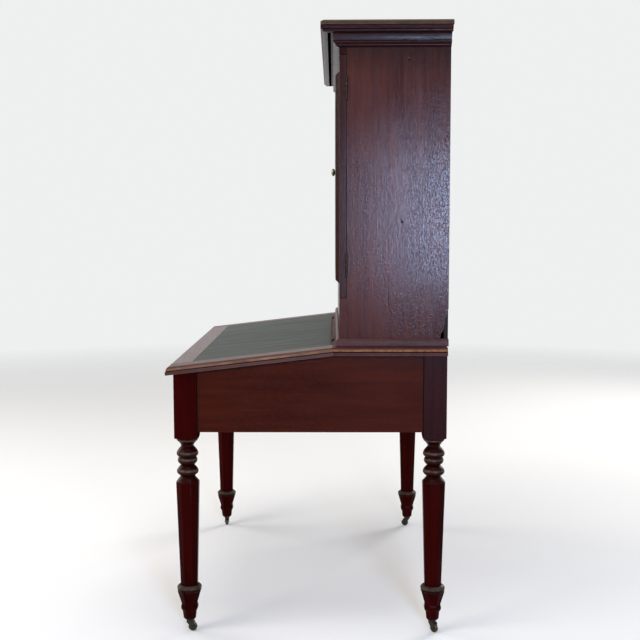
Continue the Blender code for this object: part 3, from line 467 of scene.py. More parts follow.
joints = {joint["name"]: joint for joint in frame["joints"]}
for corner in CORNERS:
    roll = joints["wheel_" + corner + "_roll"]
    rim = roll["pos_m"][2]
    side = [(AXLE_HOLE, 0.47), (AXLE_HOLE + AXLE_EASE, 0.50)] + [(r * rim, w) for r, w in WHEEL_SIDE]
    tyre, full = WHEEL_SIDE[-1]
    for k in range(1, TYRE_STEPS):
        t = math.pi / 2 * k / TYRE_STEPS
        radius = rim * (tyre + (1 - tyre) * math.sin(t))
        side.append((radius, TYRE_FLAT + (full - TYRE_FLAT) * math.cos(t)))
    side.append((rim, TYRE_FLAT))
    section = [(r, -w * WHEEL_WIDTH) for r, w in side] + [(r, w * WHEEL_WIDTH) for r, w in reversed(side)]
    wheel = new_piece("caster_wheel_" + corner + "_turned", lathe(section, CASTER_STEPS, True), wheel_brass)
    turn = Vector((0, 1, 0)).rotation_difference(Vector(roll["axis"]))
    wheel.matrix_world = Matrix.Translation(roll["pos_m"]) @ turn.to_matrix().to_4x4()
    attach(wheel, "wheel_" + corner)
    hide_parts("caster_wheel_" + corner)
    dress("caster_fork_" + corner, dark_iron, ease=0.0003)
    dress("caster_plate_" + corner, dark_iron, ease=0.0003)


# Aprons
# Four mahogany boards with horizontal grain, tenoned into the posts and set back a little from their faces.
# The side aprons follow the slope of the lid.
LID_SLOPE = math.radians(6.7)
APRON_MIDDLE = 0.007                # depth of the side aprons' middle
SHOULDER_DIRT = (0.3108, 0.3132)    # distances from the middle where dirt begins and is full
TOP_SHADOW_DEPTHS = (0.0318, 0.0266)        # depths below the desk's top where the painted shadow begins and is full
lid_pin = Vector(joints["lid_lift"]["pos_m"])


def below_top(tree, parts, slope):
    """Depth below a top that slopes down from the lid's pins to the front, square to it."""
    drop = worked(tree, "SUBTRACT", lid_pin.z, parts[2])
    back = worked(tree, "SUBTRACT", parts[1], lid_pin.y)
    run = worked(tree, "MULTIPLY", back, math.sin(slope))
    return worked(tree, "MULTIPLY_ADD", drop, math.cos(slope), run)


def joint_grime_and_top_shadow(tree, parts):
    """Grime along a side apron's ends at the posts, and a painted shadow under the edge of top and lid."""
    away = worked(tree, "ABSOLUTE", worked(tree, "SUBTRACT", parts[1], APRON_MIDDLE))
    ends = between(tree, away, *SHOULDER_DIRT, 0.0, 0.9)
    flat, sloped = below_top(tree, parts, 0), below_top(tree, parts, LID_SLOPE)
    depth = worked(tree, "MINIMUM", flat, sloped)
    # painted shadow under the edge of top and lid
    return worked(tree, "MAXIMUM", ends, between(tree, depth, *TOP_SHADOW_DEPTHS, 0.0, 0.8))


apron_tones = {"deep": (0.022, 0.0022, 0.0006), "bright": (0.058, 0.0085, 0.0026),
               "worn": (0.075, 0.032, 0.016), "wear": 0.20, "rough": 0.24, "specular": 0.036, "craze": 0.10}
apron_side_wood = mahogany("side apron mahogany", "Y", dirt_and_shade=joint_grime_and_top_shadow, **apron_tones)
apron_end_wood = mahogany("end apron mahogany", "X", **apron_tones)
for hand in ("right", "left"):
    dress("apron_" + hand, apron_side_wood, ease=0.0005)
for end in ("front", "back"):
    dress("apron_" + end, apron_end_wood, ease=0.0005)


# Well floor
# A thin poplar board, held in grooves in the aprons, closes the storage well under the lid.
# It was never varnished and has gone brown with age.
POPLAR_DIRT_AND_SHADE = (0.02, 0.012, 0.008)
EDGE_SHADOW = (0.010, 0.006, 0.004)
EDGE_SHADOW_WIDTH = 0.0012


def poplar(name, along, pale, dark, board=0.0, ends=0.0):
    """Unvarnished secondary wood, brown with age, with grime and painted shade in its corners; its boards,
    if it has several, differ in tone.

    Ends is the distance from the middle at which its outer edges get a painted shadow line."""
    finish, tree, shader, place = new_finish(name)
    parts = put(tree, "SeparateXYZ", {0: place}).outputs
    grain = use(tree, wood_grain, {"Vector": laid_along(tree, parts, along)})
    marks = use(tree, edge_wear, {"Vector": place, "Reach": 0.003, "Breakup": 30.0})
    stain = between(tree, noise(tree, place, 9.0, 5.0, 0.6), 0.35, 0.75)
    tone = mixed(tree, grain["Bands"], (*pale, 1), (*dark, 1))
    if board:
        which = worked(tree, "ROUND", worked(tree, "DIVIDE", parts[0], board))
        shade = put(tree, "TexWhiteNoise", {"W": which}, noise_dimensions="1D").outputs["Value"]
        tone = glazed(tree, tone, shade, 0.6, dark)
    tone = glazed(tree, tone, grain["Fibre"], 0.4, dark)
    tone = mixed(tree, worked(tree, "MULTIPLY", stain, 0.5), tone, (*dark, 1), "MULTIPLY")
    # grime and painted shade in the corners
    tone = glazed(tree, tone, marks["Grime and Shade"], 0.6, POPLAR_DIRT_AND_SHADE)
    # painted shadow line along the outer edges
    if ends:
        outer = between(tree, worked(tree, "ABSOLUTE", parts[0]), ends - EDGE_SHADOW_WIDTH, ends)
        tone = mixed(tree, outer, tone, (*EDGE_SHADOW, 1))
    dull = worked(tree, "MULTIPLY_ADD", grain["Fibre"], 0.15, 0.62)
    sawn = worked(tree, "MULTIPLY", grain["Pores"], -0.5)
    sawn = worked(tree, "MULTIPLY_ADD", grain["Fibre"], 0.5, sawn)
    finished(tree, shader, tone, dull, sawn, 0.4, 0.0006)
    shader.inputs["Specular IOR Level"].default_value = 0.2
    return finish


long_poplar = poplar("poplar boards", "X", (0.22, 0.125, 0.064), (0.11, 0.056, 0.028))
dress("well_floor", long_poplar, ease=0.0006)


# Top board
# The flat mahogany top behind the lid carries the cabinet. Its ends have a worn thumbnail moulding, with a
# painted highlight along it and painted shade in the step under it.
# It is screwed down to the aprons from below.
THUMBNAIL_WEAR_AND_HIGHLIGHT = (0.0036, 0.0062, 0.0098, 0.0112)    # depths of its band of wear and painted highlight: where it begins, is full, fades, ends
QUIRK = (0.0108, 0.0116, 0.0130, 0.0138)        # the same of the painted shade in the step under the thumbnail


def edge_band(depths, slope):
    """A mask along a board's edge, between depths below its top, which may slope down to the front."""
    start, full, fading, end = depths

    def mask(tree, parts):
        depth = below_top(tree, parts, slope)
        upper, lower = between(tree, depth, start, full), between(tree, depth, end, fading)
        return worked(tree, "MULTIPLY", upper, lower)
    return mask


# Its worn tone is also the colour of the painted highlight along the thumbnail.
top_wood = mahogany("top mahogany", "X", deep=(0.042, 0.0125, 0.0115), bright=(0.086, 0.030, 0.025),
                    worn=(0.26, 0.115, 0.045), wear=0.40, rough=0.42, specular=0.04,
                    handled=edge_band(THUMBNAIL_WEAR_AND_HIGHLIGHT, 0), marks=[edge_band(QUIRK, 0)])
dress("top_board", top_wood, ease=0.0004)


# Lid
# A mahogany frame around a panel covered with leather. The stiles run from front to back, and the front
# rail is tongued between them. Its edges have the same thumbnail moulding, worn pale by sleeves, with the
# same painted highlight along it and painted shade in the step under it.
lid_tones = {"deep": (0.042, 0.0125, 0.0095), "bright": (0.092, 0.034, 0.025),
             "worn": (0.22, 0.112, 0.056), "wear": 0.40, "rough": 0.34,
             "handled": edge_band(THUMBNAIL_WEAR_AND_HIGHLIGHT, LID_SLOPE), "marks": [edge_band(QUIRK, LID_SLOPE)]}
lid_stile_wood = mahogany("lid stile mahogany", "Y", specular=0.12, **lid_tones)
lid_rail_wood = mahogany("lid rail mahogany", "X", specular=0.40, **lid_tones)
lid_panel_wood = mahogany("lid panel mahogany", "X",
                          deep=(0.026, 0.0085, 0.0058), bright=(0.056, 0.022, 0.014),
                          worn=(0.09, 0.048, 0.030), wear=0.2, rough=0.5, specular=0.08)
for hand in ("right", "left"):
    dress("lid_stile_" + hand, lid_stile_wood, ease=0.0004)
dress("lid_front_rail", lid_rail_wood, ease=0.0003, joined=False)
dress("lid_panel", lid_panel_wood, ease=0.0003)


# Writing leather
# A thin grey-green hide is glued flat into the lid's frame, just below the wood, with its edges pared thin.
# It is scuffed from front to back and polished by use.
LEATHER_TONES = ((0.026, 0.032, 0.028, 1), (0.038, 0.045, 0.039, 1))
SCUFFED = (0.062, 0.070, 0.060)
SCRATCHED = (0.10, 0.097, 0.080)
LEATHER_FLAT = (0.9514, 0.3917)
LEATHER_REAR = -0.0048      # in front of the lid's hinge line
LEATHER_TOP = -0.0006       # below the hinge line, square to the lid
LEATHER_THICKNESS = 0.0015
LEATHER_CELLS = (90, 38)
PUCKER_HEIGHT = 0.00014
PARED_WIDTH = 0.0024
PARED_DEPTH = 0.0007

hide, tree, shader, place = new_finish("writing leather")
scuffs = between(tree, noise(tree, place, 38.0, 5.0, 0.62, (1, 0.10, 1)), 0.40, 0.72)
cloud = between(tree, noise(tree, place, 6.0, 4.0, 0.6), 0.35, 0.70)
scratches = between(tree, noise(tree, place, 300.0, 2.0, 0.5, (1, 0.03, 1)), 0.64, 0.74)
tone = mixed(tree, cloud, *LEATHER_TONES)
tone = glazed(tree, tone, scuffs, 0.40, SCUFFED)
tone = glazed(tree, tone, scratches, 0.5, SCRATCHED)
dull = worked(tree, "MULTIPLY_ADD", scuffs, 0.18, 0.46)
pebbles = put(tree, "TexVoronoi", {"Vector": place, "Scale": 820.0, "Randomness": 1.0}).outputs["Distance"]
height = worked(tree, "MULTIPLY_ADD", pebbles, 0.8, worked(tree, "MULTIPLY", scratches, -0.6))
finished(tree, shader, tone, dull, height, 0.35, 0.0004)
shader.inputs["Specular IOR Level"].default_value = 0.12


def spaced(start, length, cells):
    """Places along an edge: even in the middle, with one more at each pared margin."""
    inner = [start + PARED_WIDTH + (length - 2 * PARED_WIDTH) * k / cells for k in range(cells + 1)]
    return [start, start + PARED_WIDTH / 3] + inner + [start + length - PARED_WIDTH / 3, start + length]


def pucker(x, y):
    """Slow waves of a hide that has shrunk here and there."""
    long_waves = math.sin(23 * x + 7 * y) * math.sin(31 * y + 5 * x + 1.3)
    short_waves = math.sin(61 * x + 1.0) * math.sin(47 * y)
    return (long_waves + 0.5 * short_waves) * PUCKER_HEIGHT


hide_mesh = bmesh.new()
hide_width, hide_length = LEATHER_FLAT
across_hide = spaced(-hide_width / 2, hide_width, LEATHER_CELLS[0])
along_hide = spaced(LEATHER_REAR - hide_length, hide_length, LEATHER_CELLS[1])
sides = []
for grain_side in (True, False):
    rows = []
    for x in across_hide:
        row = []
        for y in along_hide:
            margin = min(x - across_hide[0], across_hide[-1] - x, y - along_hide[0], along_hide[-1] - y)
            pared = PARED_DEPTH * max(0.0, 1 - margin / PARED_WIDTH) ** 2
            lift = pucker(x, y) - pared if grain_side else -LEATHER_THICKNESS
            row.append(hide_mesh.verts.new((x, y, LEATHER_TOP + lift)))
        rows.append(row)
    for near, far in zip(rows, rows[1:]):
        for k in range(len(near) - 1):
            hide_mesh.faces.new((near[k], near[k + 1], far[k + 1], far[k]))
    rear = [row[-1] for row in rows[1:-1]]
    front = [row[0] for row in rows[-2:0:-1]]
    sides.append(rows[0] + rear + rows[-1][::-1] + front)
upper, lower = sides
for k in range(len(upper)):
    j = (k + 1) % len(upper)
    hide_mesh.faces.new((upper[k], upper[j], lower[j], lower[k]))
leather = new_piece("writing_leather_laid", hide_mesh, hide)
leather.matrix_world = Matrix.Translation(lid_pin) @ Matrix.Rotation(LID_SLOPE, 4, "X")
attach(leather, "lid")
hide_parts("writing_leather")


# Letter cabinet sides
# Wide mahogany boards with upright grain, housed for floor, roof and shelf. The varnish has crazed.
# The right one has lost a corner low at the back, and has two old nail holes and a short crack.
NAIL_HOLES = ((0.260, 1.163), (0.277, 1.599))       # (depth, height)
NAIL_HOLE_RADII = (0.0044, 0.0028)                  # where a hole's dark begins and is full
CRACK = (0.224, 0.921, 0.982)                       # depth, and from one height to another
CRACK_WIDTH = 0.0012
CRACK_WANDER = 0.006
CRACK_EDGE = 0.0004
CORNICE_SHADE_HEIGHTS = (1.560, 1.634)             # heights from none to the darkest painted shade
SUNNED_DEPTH = (0.19, 0.36)         # from the least to the most crazed
SUNNED_HEIGHT = (1.56, 1.40)


def nail_hole(depth, height):
    """A dark round spot."""
    def mask(tree, parts):
        apart = put(tree, "CombineXYZ", {0: worked(tree, "SUBTRACT", parts[1], depth),
                                         1: worked(tree, "SUBTRACT", parts[2], height)}).outputs[0]
        gap = put(tree, "VectorMath", {0: apart}, operation="LENGTH").outputs["Value"]
        return between(tree, gap, *NAIL_HOLE_RADII)
    return mask


def crack(depth, low, high):
    """A dark line that wanders along the grain and is widest half-way."""
    def mask(tree, parts):
        wander = noise(tree, put(tree, "CombineXYZ", {0: parts[2]}).outputs[0], 60.0, 3.0, 0.6)
        middle = worked(tree, "MULTIPLY_ADD", wander, CRACK_WANDER, depth - CRACK_WANDER / 2)
        gap = worked(tree, "ABSOLUTE", worked(tree, "SUBTRACT", parts[1], middle))
        ends = worked(tree, "ABSOLUTE", worked(tree, "SUBTRACT", parts[2], (low + high) / 2))
        open_width = between(tree, ends, 0.0, (high - low) / 2, CRACK_WIDTH, 0.0)
        return between(tree, worked(tree, "SUBTRACT", gap, open_width), CRACK_EDGE, -CRACK_EDGE)
    return mask


def painted_cornice_shade(tree, parts):
    """Painted shade under the cornice, darkest at the top."""
    return between(tree, parts[2], *CORNICE_SHADE_HEIGHTS, 0.0, 0.62)


def sunned(tree, parts):
    """Where the sun has crazed the varnish: most towards the back, and little under the cornice."""
    back = between(tree, parts[1], *SUNNED_DEPTH, 0.24, 1.0)
    low = between(tree, parts[2], *SUNNED_HEIGHT, 0.1, 1.0)
    return worked(tree, "MULTIPLY", back, low)


side_tones = {"deep": (0.024, 0.0030, 0.0027), "bright": (0.086, 0.0200, 0.0115),
              "worn": (0.10, 0.044, 0.028), "wear": 0.4, "rough": 0.18, "specular": 0.13,
              "craze": 0.70, "crazed": sunned, "dirt_and_shade": painted_cornice_shade}
blemishes = [nail_hole(*hole) for hole in NAIL_HOLES] + [crack(*CRACK)]
right_side_wood = mahogany("right side mahogany", "Z", marks=blemishes, **side_tones)
left_side_wood = mahogany("left side mahogany", "Z", **side_tones)
dress("case_side_right", right_side_wood, ease=0.0005)
dress("case_side_left", left_side_wood, ease=0.0005)


# Cabinet floor, roof, shelf, back and pigeonholes
# All of poplar. The floor, roof and shelf are housed in the sides, and the nest of pigeonholes slides in
# as one. The back boards sit in rebates, held by cut nails with flat oblong heads.
BACK_BOARD_WIDTH = 0.19668
BACK_REACH = 2.5 * BACK_BOARD_WIDTH - 0.0008        # of the five boards from the middle, less their fit
NAIL_ROWS = (0.944, 1.423, 1.628)
NAIL_FROM_JOINT = 0.030
NAIL_HEAD = (0.0028, 0.0017)
NAIL_PROUD = 0.0006
NAIL_ASKEW = 0.5            # radians at most
NAIL_WANDER = 0.003         # off its row at most
SUNK = 0.0004               # depth of all heads in what they hold

# Painted shade: the back boards take darker tones than the other poplar, so they look shaded where the
# broken corner shows them
back_poplar = poplar("back boards poplar", "Z", (0.100, 0.054, 0.030), (0.034, 0.017, 0.010),
                     BACK_BOARD_WIDTH, BACK_REACH)
for node in ("case_floor", "case_roof", "upper_shelf", "pigeonhole_nest"):
    dress(node, long_poplar, ease=0.0005)
dress("back_boards", back_poplar, ease=0.0006)


def raised(bm, place, outline, levels):
    """A small closed form on a surface: an outline at some heights, each with its scale."""
    rings = []
    for height, scale in levels:
        rings.append([place @ Vector((a * scale, b * scale, height)) for a, b in outline])
    return skin(rings, bm=bm)


head_half, head_thick = NAIL_HEAD
oblong = [(a * head_half, b * head_thick) for a, b in ((-1, -1), (1, -1), (1, 1), (-1, 1))]
nails = bmesh.new()
back_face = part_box("back_boards")[1].y
count = 0
for height in NAIL_ROWS:
    for board in range(-2, 3):
        for hand in (-1, 1):
            x = board * BACK_BOARD_WIDTH + hand * (BACK_BOARD_WIDTH / 2 - NAIL_FROM_JOINT)
            askew = NAIL_ASKEW * math.sin(2.7 * count)
            place = Matrix.Translation((x, back_face, height + NAIL_WANDER * math.sin(1.9 * count)))
            place = place @ Matrix.Rotation(-math.pi / 2, 4, "X") @ Matrix.Rotation(askew, 4, "Z")
            raised(nails, place, oblong, ((-SUNK, 1.0), (0.5 * NAIL_PROUD, 1.0), (NAIL_PROUD, 0.72)))
            count += 1
back_nails = new_piece("back_board_nails", nails, dark_iron, sharp=25)
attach(back_nails, "desk")


# Rails and mouldings
# Mahogany rails close the front of the case below and above. A mitred moulding hides its foot, and a cornice
# its head: fillet, bead, hollow, grooved soffit, ovolo and fascia, struck with planes.
# A cap board covers it, worn pale and round.
CASE_HALF = 0.502
CASE_FRONT = 0.088
MITRE_GAP = 0.0002
# (projection, height) in millimetres from the foot of the cornice up to its cap
LOWER_SLOPE = ((0.3, 7.2), (1.2, 7.4), (2.8, 7.9), (4.6, 8.6), (6.8, 9.5), (8.6, 10.5), (9.4, 10.8))
FILLET = ((9.9, 11.3), (10.2, 11.9), (10.3, 14.2), (10.0, 14.8))
BEAD = ((10.0, 15.3), (11.4, 16.0), (13.0, 17.2), (13.6, 17.9), (14.6, 18.2), (15.6, 18.8), (16.3, 19.9),
        (16.5, 21.0), (16.3, 22.1), (15.7, 23.0), (15.0, 23.6), (14.3, 23.9), (14.0, 24.2))
HOLLOW = ((14.4, 24.8), (14.5, 26.0), (14.6, 27.5), (14.75, 29.0), (14.95, 30.5), (15.2, 32.0),
          (15.5, 33.5), (15.85, 35.0), (16.2, 36.5), (16.6, 38.0), (17.0, 39.5), (17.35, 40.6), (17.8, 41.2))
SOFFIT = ((19.0, 41.4), (21.9, 41.4), (22.4, 41.9), (22.6, 56.8), (31.0, 56.8), (31.2, 42.0), (31.7, 41.5),
          (38.0, 41.6))
GROOVE = ((22.2, 31.4), (42.0, 57.0))           # projections and heights between which the soffit is grooved
OVOLO = ((40.2, 41.7), (42.0, 42.1), (43.3, 42.8), (44.1, 43.7), (44.4, 44.7), (44.3, 45.6))
QUIRK_ABOVE = ((44.5, 46.2), (44.9, 46.9), (45.8, 47.6), (47.2, 48.2), (49.2, 48.6))
FASCIA = ((49.7, 48.8), (50.0, 49.2), (50.0, 49.8), (50.0, 55.6), (50.0, 56.2), (49.6, 56.9), (48.8, 57.3),
          (46.4, 57.5), (46.2, 59.2), (0.3, 59.2))
CAP_EDGE = ((49.2, 59.3), (50.0, 59.9), (50.0, 65.6), (49.0, 67.6), (46.0, 70.0), (42.0, 72.2),
            (38.0, 73.3))
CAP_RECESS = 64.2           # the cap's underside over the case
CAP_FIT = 0.4               # between the recess and the case


def behind_mitre(tree, parts):
    """1 on the returns along the sides, 0 on the length across the front."""
    out = worked(tree, "SUBTRACT", worked(tree, "ABSOLUTE", parts[0]), CASE_HALF)
    return worked(tree, "GREATER_THAN", worked(tree, "ADD", out, parts[1]), CASE_FRONT)


moulding_tones = {"deep": (0.012, 0.0020, 0.0020), "bright": (0.034, 0.0070, 0.0064),
                  "worn": (0.080, 0.040, 0.026), "wear": 0.15, "rough": 0.24}
front_wood = mahogany("rail mahogany", "X", specular=0.035, **moulding_tones)
return_wood = mahogany("return moulding mahogany", "Y", specular=0.09, **moulding_tones)
waist_wood = mahogany("waist moulding mahogany", "X", across=("Y", behind_mitre),
                      deep=(0.042, 0.0135, 0.0115), bright=(0.086, 0.031, 0.025),
                      worn=(0.15, 0.072, 0.044), wear=0.6, rough=0.36, specular=0.06)
cap_wood = mahogany("cap mahogany", "X", deep=(0.034, 0.016, 0.010), bright=(0.068, 0.038, 0.024),
                    worn=(0.105, 0.062, 0.034), wear=1.0, rough=0.48, specular=0.08, reach=0.006)
for node in ("bottom_rail", "top_rail"):
    dress(node, front_wood, ease=0.0006)
struck = LOWER_SLOPE + FILLET + BEAD + HOLLOW + SOFFIT + OVOLO + QUIRK_ABOVE + FASCIA
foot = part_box("cornice_front")[0].z
struck = [(p / 1000, foot + h / 1000) for p, h in struck]
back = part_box("cornice_return_right")[1].y
front_ends = []
for sign in (-1, 1):
    front_ends.append([(sign * (CASE_HALF + p - MITRE_GAP / 2), CASE_FRONT - p, z) for p, z in struck])
lengths = [("front", front_wood, front_ends)]
for hand, sign in (("return_right", 1), ("return_left", -1)):
    mitre = [(sign * (CASE_HALF + p), CASE_FRONT - p + MITRE_GAP, z) for p, z in struck]
    lengths.append((hand, return_wood, [mitre, [(x, back, z) for x, y, z in mitre]]))
for run, finish, ends in lengths:
    moulding = new_piece("cornice_" + run + "_struck", skin(ends), finish, sharp=32)
    moulding.data.materials.append(inner_wood)      # painted shade: the groove takes a darker finish without sheen
    (out_low, out_high), (up_low, up_high) = GROOVE
    for face in moulding.data.polygons:
        beside = abs(face.center.x) - CASE_HALF if run != "front" else 0.0
        out = 1000 * max(beside, CASE_FRONT - face.center.y)
        up = 1000 * (face.center.z - foot)
        face.material_index = 1 if out_low < out < out_high and up_low < up < up_high else 0
    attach(moulding, "desk")
    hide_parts("cornice_" + run)
dress("waist_moulding", waist_wood, ease=0.0006)
cap_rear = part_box("cornice_cap")[1].y
recess_rear = back + CAP_FIT / 1000
levels = [(CAP_FIT, CAP_RECESS, recess_rear), (CAP_FIT, CAP_EDGE[0][1], recess_rear)]
levels += [(p, h, cap_rear) for p, h in CAP_EDGE]
rings = []
for out, height, rear in levels:
    half, front, level = CASE_HALF + out / 1000, CASE_FRONT - out / 1000, foot + height / 1000
    rings.append([(half, rear, level), (half, front, level), (-half, front, level), (-half, rear, level)])
cap = new_piece("cornice_cap_worn", skin(rings), cap_wood, sharp=32)
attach(cap, "desk")
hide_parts("cornice_cap")


# Doors
# Each door is a glued mahogany frame, rails between upright stiles, grooved around a fielded panel that
# stands proud. They hang on brass butt hinges at their outer edges, and meet in the middle.
STILE_INNER = (0.05275, 0.450)      # distances of the stiles' inner edges from the middle of the case
JOINT_GAP = (0.0004, 0.00015)       # distances from a joint where its dark line begins and is full


def on_rails(tree, parts):
    """1 between the stiles."""
    out = worked(tree, "ABSOLUTE", parts[0])
    inside = worked(tree, "GREATER_THAN", out, STILE_INNER[0])
    return worked(tree, "MULTIPLY", inside, worked(tree, "LESS_THAN", out, STILE_INNER[1]))


def joint_lines(tree, parts):
    """The joints of rails and stiles, opened a little by shrinkage."""
    out = worked(tree, "ABSOLUTE", parts[0])
    gaps = [worked(tree, "ABSOLUTE", worked(tree, "SUBTRACT", out, edge)) for edge in STILE_INNER]
    return between(tree, worked(tree, "MINIMUM", *gaps), *JOINT_GAP, 0.0, 0.8)


door_tones = {"deep": (0.018, 0.0042, 0.0038), "bright": (0.044, 0.0120, 0.0090),
              "worn": (0.085, 0.040, 0.025), "wear": 0.35, "rough": 0.22, "specular": 0.09, "craze": 0.12}
frame_wood = mahogany("door frame mahogany", "Z", across=("X", on_rails), marks=[joint_lines], **door_tones)
panel_wood = mahogany("door panel mahogany", "Z", **door_tones)
for hand in ("right", "left"):
    dress("door_frame_" + hand, frame_wood, ease=0.0008)
    dress("door_panel_" + hand, panel_wood, ease=0.0008)


# Hinges
# Cast brass butt hinges, let flush into the wood, two to the lid and two to each door, dark with age.
# Three slotted iron screws hold each leaf.
SCREW_STEPS = 14
SCREW_PROUD = 0.00022
SCREW_SLOT = 0.17           # half width, as a part of the radius
SCREW_TURN = 1.1            # radians from one screw's slot to the next
LID_SCREWS = (0.0022, 0.340, 0.021, 0.0105)     # radius, hinge from the middle, screw to screw, from the pin
DOOR_SCREWS = (0.0027, (1.044, 1.523), 0.022, 0.0130)   # radius, hinge heights, screw to screw, from the pin
LEAF_FACE = 0.0003          # from the pin's plane
old_brass = aged_metal("old brass", (0.050, 0.033, 0.020), (0.015, 0.010, 0.0075), 0.38, 240.0)
for node in frame["nodes"]:
    if "hinge" in node:
        dress(node, old_brass)


def slotted_screw(bm, place, radius):
    """A thin disc with two raised halves, on the place's XY plane."""
    raised(bm, place, circle(radius, 2 * SCREW_STEPS), ((-SUNK, 0.98), (0.25 * SCREW_PROUD, 0.98)))
    start = math.asin(SCREW_SLOT)
    for half in (1, -1):
        turns = [start + (math.pi - 2 * start) * k / SCREW_STEPS for k in range(SCREW_STEPS + 1)]
        outline = [(radius * math.cos(t), half * radius * math.sin(t)) for t in turns]
        raised(bm, place, outline, ((-SUNK, 1.0), (0.6 * SCREW_PROUD, 1.0), (SCREW_PROUD, 0.94)))


screws = {body: bmesh.new() for body in ("desk", "lid", "door_right", "door_left")}
facing_front, facing_back = Matrix.Rotation(math.pi / 2, 4, "X"), Matrix.Rotation(-math.pi / 2, 4, "X")
hinges = []     # the body that moves, the middle screw's place, the step to the next, the radius
radius, hinge_out, apart, drop = LID_SCREWS
for sign in (1, -1):
    middle = lid_pin + Vector((sign * hinge_out, 0, -drop))
    hinges.append(("lid", middle, Vector((apart, 0, 0)), radius))
radius, levels, apart, drop = DOOR_SCREWS
for hand, sign in (("right", 1), ("left", -1)):
    pin = Vector(joints["door_" + hand + "_swing"]["pos_m"])
    for level in levels:
        middle = Vector((pin.x - sign * drop, pin.y, level))
        hinges.append(("door_" + hand, middle, Vector((0, 0, apart)), radius))
count = 0
for moving, middle, apart, radius in hinges:
    for step in (-1, 0, 1):
        for body, way, facing in (("desk", 1, facing_front), (moving, -1, facing_back)):
            spot = middle + step * apart + Vector((0, way * LEAF_FACE, 0))
            turn = Matrix.Rotation(SCREW_TURN * count, 4, "Z")
            slotted_screw(screws[body], Matrix.Translation(spot) @ facing @ turn, radius)
            count += 1
for body, bm in screws.items():
    heads = new_piece("hinge_screws_" + body, bm, dark_iron, sharp=25)
    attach(heads, body)


# Knob and lock
# A brass knob, turned in one piece with its rose, and an oval keyhole plate are fixed to the right door.
# The brass bolt of the lock slides from there into the left door.
KNOB_STEPS = 48
KNOB_RADIUS = 0.012
KNOB_REACH = 0.022
KNOB_SEAT = (0.02675, 0.0877, 1.320)
# (radius, distance out) as parts of the knob's own, from its rose to its widest
KNOB_NECK = ((0.88, 0.0), (0.92, 0.03), (0.92, 0.07), (0.88, 0.10), (0.72, 0.14), (0.52, 0.175),
             (0.42, 0.22), (0.37, 0.29), (0.36, 0.38), (0.40, 0.44), (0.50, 0.50), (0.72, 0.545),
             (0.88, 0.605), (0.97, 0.67))
CROWN_BASE = 0.72
CROWN_FLAT = 0.06
CROWN_STEPS = 10

knob_profile = list(KNOB_NECK)
for k in range(CROWN_STEPS):
    t = math.pi / 2 * k / CROWN_STEPS
    radius = CROWN_FLAT + (1 - CROWN_FLAT) * math.cos(t)
    knob_profile.append((radius, CROWN_BASE + (1 - CROWN_BASE) * math.sin(t)))
knob_profile.append((CROWN_FLAT, 1.0))
knob_profile = [(r * KNOB_RADIUS, -h * KNOB_REACH) for r, h in knob_profile]
handled_brass = aged_metal("handled brass", (0.26, 0.235, 0.17), (0.065, 0.058, 0.042), 0.20, 160.0)
knob = new_piece("door_knob_turned", lathe(knob_profile, KNOB_STEPS), handled_brass)
knob.matrix_world = Matrix.Translation(KNOB_SEAT)
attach(knob, "door_right")
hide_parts("door_knob")
dress("escutcheon", old_brass, ease=0.0003)
dress("lock_bolt", old_brass, ease=0.0003)


# Studio
# A round sheet of pale floor fades into a pale surround, and a weak sky lights the desk from all sides.
# Soft lamps stand in for windows, and the camera has the photograph's place.
FLOOR_RADIUS = 7.0
FLOOR_FADE = (0.28, 0.92)           # of the radius, from full floor to none
FLOOR_TONE = (0.80, 0.79, 0.775, 1)
SURROUND = (0.86, 0.865, 0.87, 1)
SKY = (0.95, 0.97, 1.0, 1)
SKY_STRENGTH = 0.32
LAMPS = (       # name, place, target, size, watts, colour
    ("front_window", (2.2, -3.4, 2.6), (0.0, 0.0, 0.9), (2.2, 2.2), 90.0, (1.0, 0.95, 0.89)),
    ("side_window", (4.5, 0.97, 1.20), (0.5, 0.30, 1.15), (0.84, 0.90), 172.0, (0.48, 0.65, 1.0)),
    ("front_fill", (-1.5, -3.9, 2.2), (0.0, 0.0, 0.9), (2.2, 2.2), 75.0, (1.0, 0.97, 0.93)),
    ("back_fill", (-3.2, 3.0, 2.4), (0.0, 0.0, 0.9), (2.2, 2.2), 110.0, (1.0, 0.98, 0.95)),
    ("overhead", (0.6, 0.0, 4.2), (0.0, 0.0, 0.8), (2.6, 2.6), 72.0, (1.0, 0.98, 0.95)))
CAMERA_PLACE = (3.2567, 0.0732, 1.1658)
CAMERA_TURN = math.radians(90.80)
CAMERA_TILT = math.radians(84.345)
CAMERA_ROLL = math.radians(-0.12)
CAMERA_LENS = 56.25                 # millimetres
CAMERA_SENSOR = 36.0

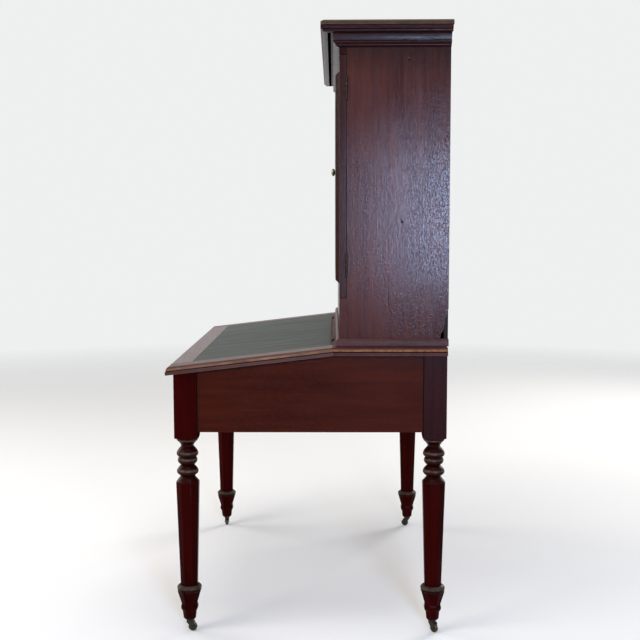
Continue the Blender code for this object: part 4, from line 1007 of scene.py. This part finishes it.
floor_mesh = bmesh.new()
bmesh.ops.create_circle(floor_mesh, cap_ends=True, radius=FLOOR_RADIUS, segments=96)
paint, tree, shader, place = new_finish("studio floor")
shader.inputs["Base Color"].default_value = FLOOR_TONE
shader.inputs["Roughness"].default_value = 0.7
shader.inputs["Specular IOR Level"].default_value = 0.2
away = put(tree, "VectorMath", {0: place}, operation="LENGTH").outputs["Value"]
fade = between(tree, away, *(part * FLOOR_RADIUS for part in FLOOR_FADE))
clear = put(tree, "BsdfTransparent")
both = put(tree, "MixShader", {0: fade, 1: shader.outputs[0], 2: clear.outputs[0]})
tree.links.new(both.outputs[0], tree.nodes["Material Output"].inputs["Surface"])
floor = new_piece("studio_floor", floor_mesh, paint)

world = bpy.data.worlds.new("studio")
scene.world = world
world.use_nodes = True
tree = world.node_tree
light = tree.nodes["Background"]
light.inputs["Color"].default_value = SKY
light.inputs["Strength"].default_value = SKY_STRENGTH
shown = put(tree, "Background", {"Color": SURROUND, "Strength": 1.0})
path = put(tree, "LightPath").outputs
seen = worked(tree, "MAXIMUM", path["Is Camera Ray"], path["Is Glossy Ray"])
seen = worked(tree, "MAXIMUM", seen, path["Is Transmission Ray"])
both = put(tree, "MixShader", {0: seen, 1: light.outputs[0], 2: shown.outputs[0]})
tree.links.new(both.outputs[0], tree.nodes["World Output"].inputs["Surface"])

for name, place, target, size, power, colour in LAMPS:
    lamp = bpy.data.lights.new(name, "AREA")
    lamp.shape = "RECTANGLE"
    lamp.energy = power
    lamp.size, lamp.size_y = size
    lamp.color = colour
    holder = bpy.data.objects.new(name, lamp)
    holder.location = place
    holder.rotation_euler = (Vector(target) - Vector(place)).to_track_quat("-Z", "Y").to_euler()
    scene.collection.objects.link(holder)

camera = bpy.data.objects.new("camera", bpy.data.cameras.new("camera"))
camera.data.lens = CAMERA_LENS
camera.data.sensor_width = CAMERA_SENSOR
camera.matrix_world = (Matrix.Translation(CAMERA_PLACE) @ Matrix.Rotation(CAMERA_TURN, 4, "Z")
                       @ Matrix.Rotation(CAMERA_TILT, 4, "X") @ Matrix.Rotation(CAMERA_ROLL, 4, "Z"))
scene.collection.objects.link(camera)
scene.camera = camera
